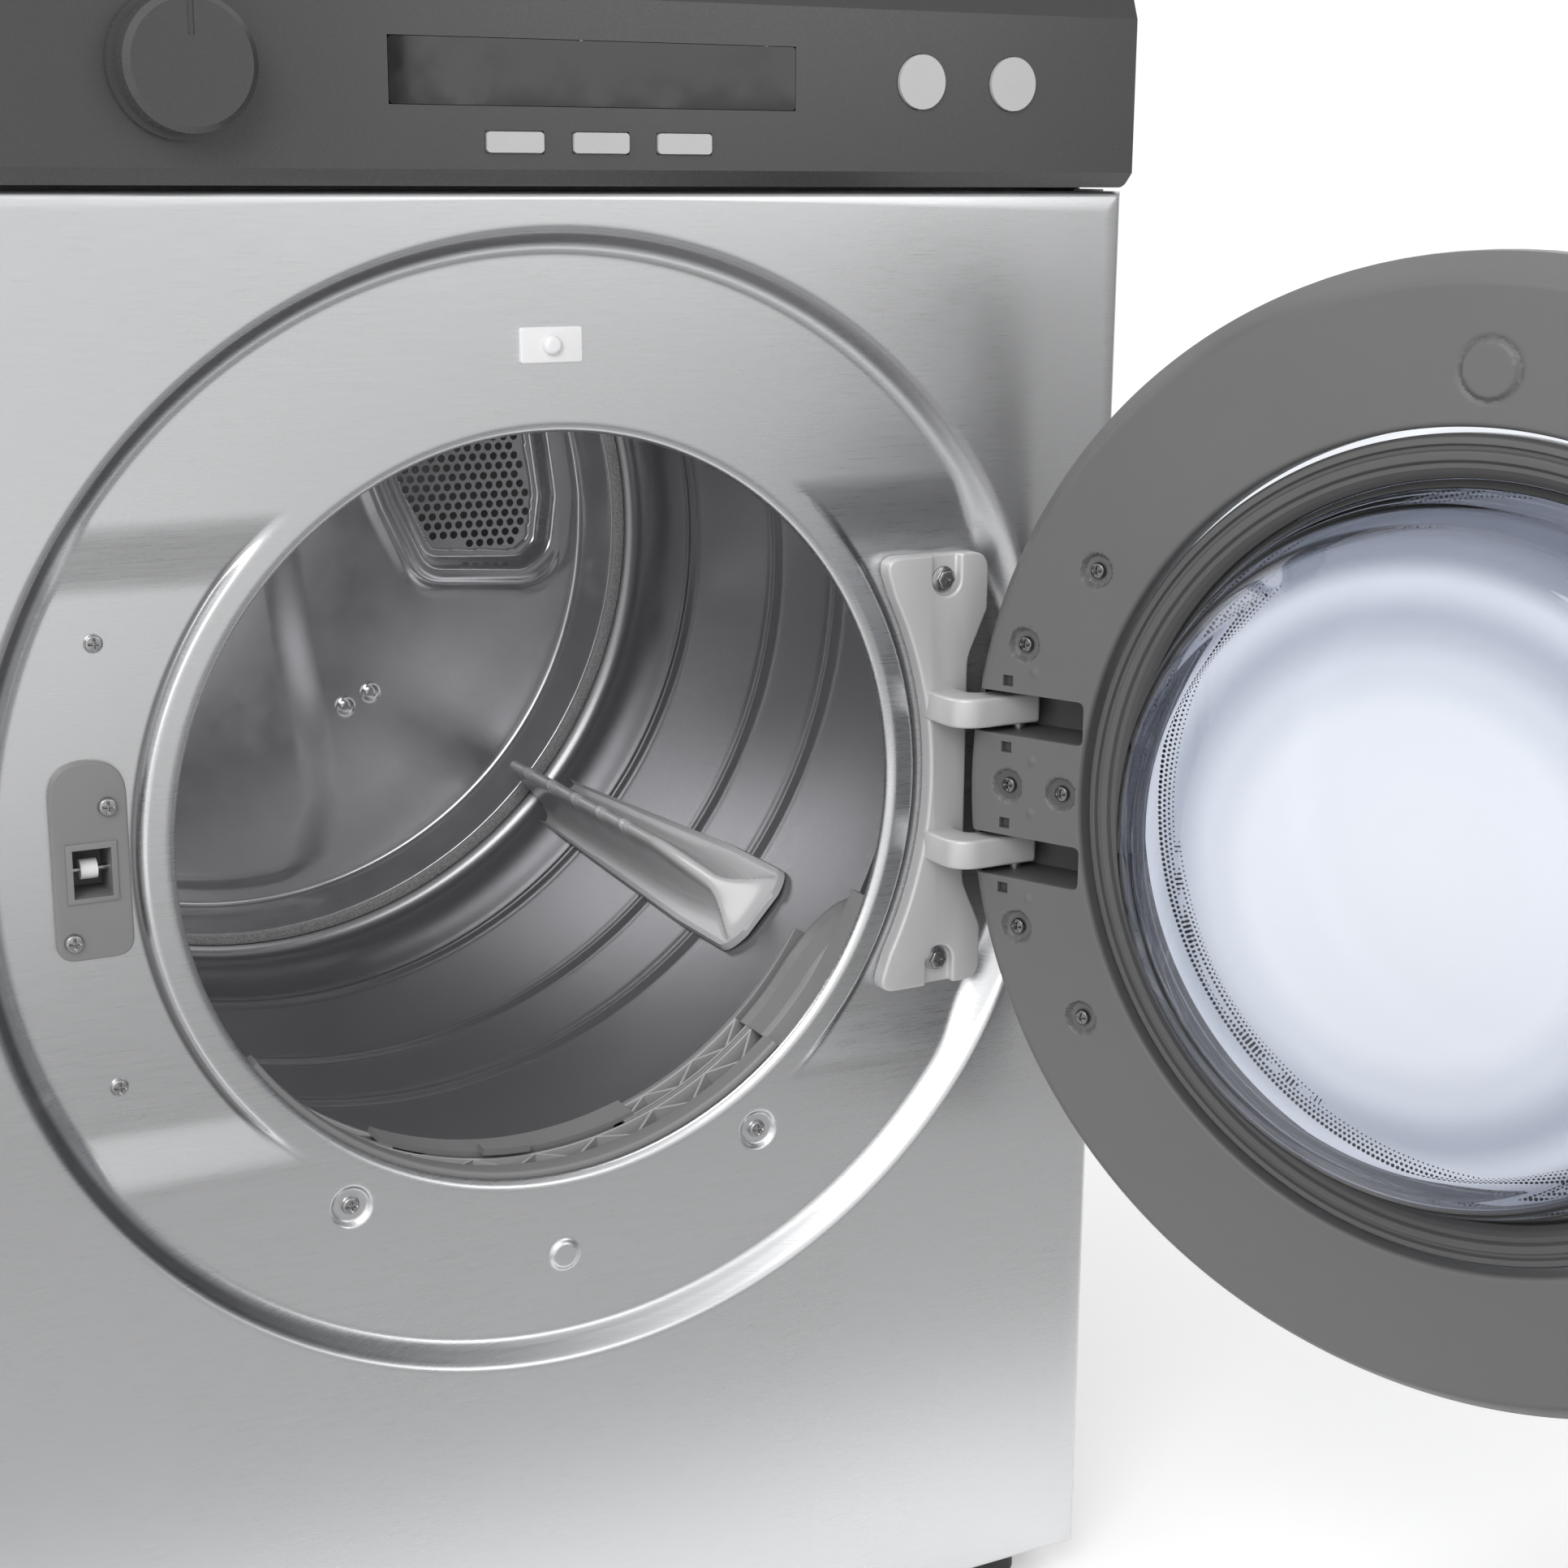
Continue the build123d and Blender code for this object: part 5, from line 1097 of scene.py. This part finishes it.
def hex_bolt(x, z):
    """Flanged hexagon head with a cross recess."""
    flange = lathe("flange", [(0.02, 11.9), (0.02, 10.2), (6.2, 10.2), (7.4, 10.8), (7.5, 11.9)], 0.0, 40)
    flange.data.transform(Matrix.Translation((x * MM, 0, z * MM)))
    hexagon = [(x + 5.4 * math.cos(math.pi * k / 3), z + 5.4 * math.sin(math.pi * k / 3)) for k in range(6)]
    head = prism("hexagon", hexagon, 7.6, 10.4, 0.6)
    cross = [block("cut", (x - 2.6, x + 2.6), (6.5, 9.2), (z - 0.6, z + 0.6)),
             block("cut", (x - 0.6, x + 0.6), (6.5, 9.2), (z - 2.6, z + 2.6))]
    for cutter in cross:
        boolean(head, cutter)
    bolt = join("bolt", [flange, head])
    shade_by_angle(bolt, 35)
    return bolt


def front_screws():
    """Screw heads of the front panel, latch cover and hinge bracket."""
    heads = [pan_head(-238.4, z, POCKET_DEPTH - 0.1, 4.8, 2.8) for z in (-113.1, 113.1)]
    heads += [pan_head(sx, sz, RECESS_DEPTH + 2.9, 5.2, 3.0) for sx, sz in PANEL_SCREWS]
    heads += [pan_head(LATCH_X + dx, dz, POCKET_DEPTH - 3.7, 4.8, 2.8) for dx, dz in ((9, 33), (-11, -34))]
    heads += [hex_bolt(HINGE_SCREW[0], side * HINGE_SCREW[1]) for side in (-1, 1)]
    screws = join("front_screws", heads)
    return finish_piece(screws, "cabinet", "pin_steel", "cabinet_screws")


def door_screw_heads():
    """Screw heads in the door's cups, which face the cabinet when the door is shut."""
    heads = []
    flip = Matrix.Scale(-1, 4, (0, 1, 0))
    mirror = Matrix.Translation((0, FRONT_Y, 0)) @ flip @ Matrix.Translation((0, -FRONT_Y, 0))
    for sx, sz in DOOR_SCREWS:
        head = pan_head(sx, sz, 0.0, 4.6, 2.4)
        head.data.transform(mirror)
        head.data.transform(Matrix.Translation((0, 2.7 * MM, 0)))
        head.data.flip_normals()
        heads.append(head)
    screws = swing_door(join("door_screw_heads", heads))
    return finish_piece(screws, "door", "pin_steel", "door_screws", material=MATERIALS["dark_steel"])


# ------------------------------------------------------------------ latch and switch
def latch_plate():
    """Latch cover with a round top, a sunk edge and a bevelled frame round its hole."""
    outline = soften([(LATCH_X - 19, 56), (LATCH_X + 19, 56), (LATCH_X + 19, -44), (LATCH_X - 19, -44)],
                     [19, 19, 10, 10], 12)
    plate = prism("latch_plate", outline, POCKET_DEPTH - 3.6, POCKET_DEPTH, 1.4, 4)
    frame = prism("latch_frame", [(LATCH_X - 12.8, 15.8), (LATCH_X + 12.8, 15.8), (LATCH_X + 12.8, -14.8),
                                  (LATCH_X - 12.8, -14.8)], POCKET_DEPTH - 4.8, POCKET_DEPTH - 2.0, 1.1, 2)
    boolean(plate, frame, "UNION")
    boolean(plate, block("window", (LATCH_X - 9.5, LATCH_X + 9.5), (5, 30), (-12, 12.5)))
    shade_by_angle(plate, 30)
    return finish_piece(plate, "cabinet", "latch_plastic", "latch_cover")


def switch_plate():
    """White switch plate with rounded corners and rims."""
    outline = [(-17, SWITCH_RISE + 9), (17, SWITCH_RISE + 9), (17, SWITCH_RISE - 9), (-17, SWITCH_RISE - 9)]
    outline = soften(outline, 1.6, 5)
    plate = prism("switch_plate", outline, RECESS_DEPTH - 2.4, RECESS_DEPTH, 0.7, 3)
    body = block("switch_body", (-12, 12), (RECESS_DEPTH - 0.4, 36), (SWITCH_RISE - 6, SWITCH_RISE + 6), 0.5)
    boolean(plate, body, "UNION")
    bore = [(5.05 * math.cos(a), SWITCH_RISE + 5.05 * math.sin(a))
            for a in np.linspace(0, 2 * math.pi, 41)[:-1]]
    boolean(plate, prism("bore", bore, 2, 30))
    shade_by_angle(plate, 30)
    return finish_piece(plate, "cabinet", "white_plastic", "door_switch")


# ------------------------------------------------------------------ lint sill
HOUSING_R = 206.0
LATTICE_ROWS = ((36.0, 55.0), (58.5, 75.0))
LATTICE_ANGLES = (-132.0, -48.0)
FILTER_GAP = (-114.0, -74.0)
BESIDE_FILTER = ((LATTICE_ANGLES[0], FILTER_GAP[0] - 1), (FILTER_GAP[1] + 1, LATTICE_ANGLES[1]))


def sweep(name, profile, start, end, rounding):
    """Rounded (radius, depth) profile carried round the opening's axis."""
    steps = max(8, int((end - start) / 0.75))
    obj = lathe(name, soften(profile, rounding, 4), 0.0, steps, True, start, end - start)
    shade_by_angle(obj, 40)
    return obj


def lint_sill():
    """Curved sill: front strip, curb, ridges between the lattice rows and the two plain end covers."""
    r = HOUSING_R
    first, last = LATTICE_ANGLES
    parts = [sweep("strip", [(r, 18), (r + 3.5, 18), (r + 3.5, 36), (r, 36)], -160, -20, 0.8),
             sweep("curb", [(r - 5, 19), (r + 1, 19), (r + 1, 33), (r - 5, 33)], first - 14, last, 2.2),
             sweep("rear", [(r - 0.5, 75.2), (r + 42, 75.6), (r + 42, 79), (r - 0.5, 79)], -158, -30, 1.0)]
    ridge = [(r - 1.2, 55), (r + 3.5, 55), (r + 3.5, 58.5), (r - 1.2, 58.5)]
    for start, end in ((first, FILTER_GAP[0]), (FILTER_GAP[1], last)):
        parts.append(sweep("ridge", ridge, start, end, 0.9))
    cover = [(r, 35.5), (r - 1.4, 40), (r - 1.8, 56), (r - 0.6, 67), (r + 3.0, 74.5), (r + 8, 77),
             (r + 12, 77), (r + 12, 74), (r + 4, 70), (r + 3.5, 35.5)]
    for start, end in ((-158, first), (last, -22)):
        parts.append(flare_end(sweep("cover", cover, start, end, 1.6)))
    sill = join("lint_sill", parts)
    shade_by_angle(sill, 40)
    return finish_piece(sill, "cabinet", "lint_plastic", "lint_housing")


def flare_end(cover):
    """Bend the upper end of an end cover outwards, behind the rim."""
    for vert in cover.data.vertices:
        x, z = vert.co.x, vert.co.z - OPEN_Z
        turn = min(1.0, max(0.0, (math.degrees(math.atan2(z, abs(x))) + 37.0) / 15.0))
        grow = 1 + 30.0 * MM * (1 - math.sqrt(1 - turn ** 2)) / math.hypot(x, z)
        vert.co.x, vert.co.z = x * grow, OPEN_Z + z * grow
    return cover


def lattice():
    """Two rows of upright triangular ribs with rims along both sides."""
    parts = []
    r0, r1 = HOUSING_R - 0.6, HOUSING_R + 9
    for row, (d0, d1) in enumerate(LATTICE_ROWS):
        spans = [LATTICE_ANGLES] if row == 0 else BESIDE_FILTER
        for start, end in spans:
            for rim in (d0 + 0.3, d1 - 1.9):
                profile = [(r0, rim), (r1, rim), (r1, rim + 1.6), (r0, rim + 1.6)]
                parts.append(sweep("rim", profile, start, end, 0.4))
            count = max(1, round((end - start) / 5.2))
            for i in range(count):
                a = math.radians(start + (end - start) * i / count)
                b = math.radians(start + (end - start) * (i + 1) / count)
                ends = (d0 + 1, d1 - 1) if (i + row) % 2 else (d1 - 1, d0 + 1)
                parts.append(slanted_rib(a, b, ends, r0 + 0.4, r1))
    grid = join("lattice", parts)
    shade_by_angle(grid, 40)
    return finish_piece(grid, "cabinet", "lint_plastic", "lint_grille", material=MATERIALS["lattice_plastic"])


def lattice_shade_sheet():
    """Near-black sheet just behind the lattice, painted shade for the air passage under it, open where the
    filter slides in.
    """
    r = HOUSING_R + 9.6
    profile = [(r, 37), (r, 74), (r + 1, 74), (r + 1, 37)]
    shade_strips = [sweep("floor", profile, start, end, 0.3) for start, end in BESIDE_FILTER]
    shade_sheet = join("lattice_shade_sheet", shade_strips)
    shade_by_angle(shade_sheet, 40)
    return finish_piece(shade_sheet, "cabinet", "catch_plastic")


def slanted_rib(a, b, ends, r0, r1):
    """Thin wall from one rim to the other between two angles."""
    run, climb = (b - a) * r0, ends[1] - ends[0]
    length = math.hypot(run, climb)
    half_angle, half_depth = 0.8 * climb / length / r0, 0.8 * run / length
    corners = [(a - half_angle, ends[0] + half_depth), (b - half_angle, ends[1] + half_depth),
               (b + half_angle, ends[1] - half_depth), (a + half_angle, ends[0] - half_depth)]
    points = [at(r * math.cos(t), d, r * math.sin(t)) for r in (r0, r1) for t, d in corners]
    faces = [(0, 1, 2, 3), (7, 6, 5, 4)] + [(k, 4 + k, 4 + (k + 1) % 4, (k + 1) % 4) for k in range(4)]
    rib = mesh_object("rib", points, faces, smooth=False)
    tidy(rib)
    return rib


def tint_with_painted_shade_rings(name, colours):
    """Clear glass with its own faint tint in the middle and painted shade further out: darker soft rings
    about the door's axis stand in for the shading seen through the bowl's curved walls.
    """
    material, nodes, links, shader = new_material(name)
    turn = Matrix.Translation(HINGE) @ Matrix.Rotation(DOOR_OPEN, 4, "Z") @ Matrix.Translation(-HINGE)
    offset = vector_sum(nodes, links, "SUBTRACT", object_place(nodes), turn @ at(0, 0, 0))
    across = vector_sum(nodes, links, "DOT_PRODUCT", offset, (math.cos(DOOR_OPEN), math.sin(DOOR_OPEN), 0))
    flat = nodes.new("ShaderNodeCombineXYZ")
    links.new(across, flat.inputs["X"])
    links.new(split_place(nodes, links, offset)["Z"], flat.inputs["Z"])
    radius = vector_sum(nodes, links, "LENGTH", flat.outputs["Vector"])
    ramp = nodes.new("ShaderNodeValToRGB")
    ramp.color_ramp.interpolation = "EASE"
    while len(ramp.color_ramp.elements) < len(colours):
        ramp.color_ramp.elements.new(0.5)
    for element, (place, colour) in zip(ramp.color_ramp.elements, colours):
        element.position = place
        element.color = (*colour, 1)
    links.new(arithmetic(nodes, links, "DIVIDE", radius, TINT_AND_SHADE_R * MM), ramp.inputs["Fac"])
    links.new(ramp.outputs["Color"], shader.inputs["Base Color"])
    glass_shader(nodes, links, shader)
    return material


# ------------------------------------------------------------------ camera, light and floor
CAMERA_OFFSET = (-511.0, -1197.65, 337.6)
CAMERA_YAW = 28.15
CAMERA_PITCH = 13.67
CAMERA_ROLL = 0.35
LENS = 58.16
SENSOR = 36.0
LIGHT_LEFT = 1.10
LIGHT_RIGHT = 0.34
BACKDROP = 1.05
KEY_POWER = 45
DRUM_POWER = 0.9
DOOR_POWER = 12
FLOOR_REACH = 30.0
FLOOR_GLOW = 0.22


def make_camera():
    """Camera at the photograph's place and angle."""
    yaw, pitch, roll = (math.radians(a) for a in (CAMERA_YAW, CAMERA_PITCH, CAMERA_ROLL))
    forward = Vector((math.sin(yaw) * math.cos(pitch), math.cos(yaw) * math.cos(pitch), -math.sin(pitch)))
    level = Vector((math.cos(yaw), -math.sin(yaw), 0))
    rise = level.cross(forward)
    right = level * math.cos(roll) + rise * math.sin(roll)
    up = rise * math.cos(roll) - level * math.sin(roll)
    data = bpy.data.cameras.new("camera")
    data.lens = LENS
    data.sensor_width = SENSOR
    data.clip_start = 0.05
    camera = bpy.data.objects.new("camera", data)
    turn = Matrix((right, up, -forward)).transposed().to_4x4()
    camera.matrix_world = Matrix.Translation(at(*CAMERA_OFFSET)) @ turn
    bpy.context.scene.collection.objects.link(camera)
    bpy.context.scene.camera = camera


def area_light(name, place, target, size, power):
    """Rectangular soft box aimed at a target."""
    data = bpy.data.lights.new(name, "AREA")
    data.shape = "RECTANGLE"
    data.size, data.size_y = size
    data.energy = power
    light = bpy.data.objects.new(name, data)
    light.location = place
    light.rotation_euler = (Vector(target) - Vector(place)).to_track_quat("-Z", "Y").to_euler()
    bpy.context.scene.collection.objects.link(light)
    return light


def mix_numbers(nodes, links, factor, first, second):
    """Number between two numbers or sockets."""
    mix = nodes.new("ShaderNodeMix")
    mix.data_type = "FLOAT"
    links.new(factor, mix.inputs["Factor"])
    feed(links, mix.inputs["A"], first)
    feed(links, mix.inputs["B"], second)
    return mix.outputs["Result"]


def make_light():
    """Soft studio light: a white room that is dimmer to the right in front, and three soft boxes."""
    world = bpy.data.worlds.new("studio")
    bpy.context.scene.world = world
    world.use_nodes = True
    nodes, links = world.node_tree.nodes, world.node_tree.links
    background = nodes["Background"]
    way = split_place(nodes, links, nodes.new("ShaderNodeTexCoord").outputs["Generated"])
    side = map_range(nodes, links, way["X"], -0.35, 0.65, LIGHT_LEFT, LIGHT_RIGHT)
    behind = map_range(nodes, links, way["Y"], -0.1, 0.3, 0.0, 1.0)
    around = mix_numbers(nodes, links, behind, side, 1.0)
    seen = nodes.new("ShaderNodeLightPath").outputs["Is Camera Ray"]
    links.new(mix_numbers(nodes, links, seen, around, BACKDROP), background.inputs["Strength"])
    background.inputs["Color"].default_value = (1, 1, 1, 1)
    centre = at(0, 0, 0)
    area_light("key_light", centre + Vector((-1.8, -2.2, 1.9)), centre, (1.6, 1.6), KEY_POWER)
    inside, aim = at(-60, 130, 215), at(60, 420, -60)
    drum_light = area_light("drum_light", inside, aim, (0.30, 0.16), DRUM_POWER)
    drum_light.visible_camera = False
    area_light("door_light", centre + Vector((1.6, -3.0, 1.2)), centre, (1.2, 1.6), DOOR_POWER)


def make_floor():
    """Plain pale floor with a painted shade in front of the dryer, outside the picture."""
    reach = FLOOR_REACH
    floor_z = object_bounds()[0][2]
    square = ((-reach, -reach), (reach, -reach), (reach, reach), (-reach, reach))
    corners = [(x, y, floor_z) for x, y in square]
    floor = mesh_object("floor", corners, [(0, 1, 2, 3)], smooth=False)
    material, nodes, links, shader = new_material("floor")
    place = split_place(nodes, links)
    near = map_range(nodes, links, place["Y"], -0.42, -0.80, 0.0, 1.0)
    slant = arithmetic(nodes, links, "ADD", place["X"], place["Y"])
    far = map_range(nodes, links, slant, -3.4, -1.6, 0.0, 1.0)
    cloud = noise(nodes, links, 0.7, 2.0, 0.5)
    pale = tone(nodes, links, cloud.outputs["Fac"], (0.90, 0.90, 0.90), (0.93, 0.93, 0.93))
    # painted shade: the floor colour darkens to grey in front of the dryer, where the stainless front
    # reflects it
    deeper = map_range(nodes, links, place["Y"], -1.7, -0.9, 0.0, 1.0)
    shade = tone(nodes, links, deeper, (0.24, 0.24, 0.24), (0.47, 0.47, 0.47))
    shaded = arithmetic(nodes, links, "MULTIPLY", near, far)
    links.new(tone(nodes, links, shaded, pale, shade), shader.inputs["Base Color"])
    shader.inputs["Roughness"].default_value = 0.8
    shader.inputs["Emission Color"].default_value = (1, 1, 1, 1)
    glow = map_range(nodes, links, place["Y"], -0.80, -0.42, 0.0, FLOOR_GLOW)
    links.new(glow, shader.inputs["Emission Strength"])
    floor.data.materials.append(material)


# ------------------------------------------------------------------ making
make_camera()
make_light()
make_floor()
paint_shade_on_bends(MATERIALS["stainless_front"])
dress_cad_nodes()
front_sheet()
drum_shell()
felt_rings()
lifters()
rear_wall()
hinge_bracket()
door_face()
hole_shade_plates()
door_glass()
door_seal()
groove_shade_ring()
frit_dots()
front_screws()
door_screw_heads()
latch_plate()
switch_plate()
lint_sill()
lattice()
lattice_shade_sheet()

bpy.context.scene.view_settings.view_transform = "Standard"
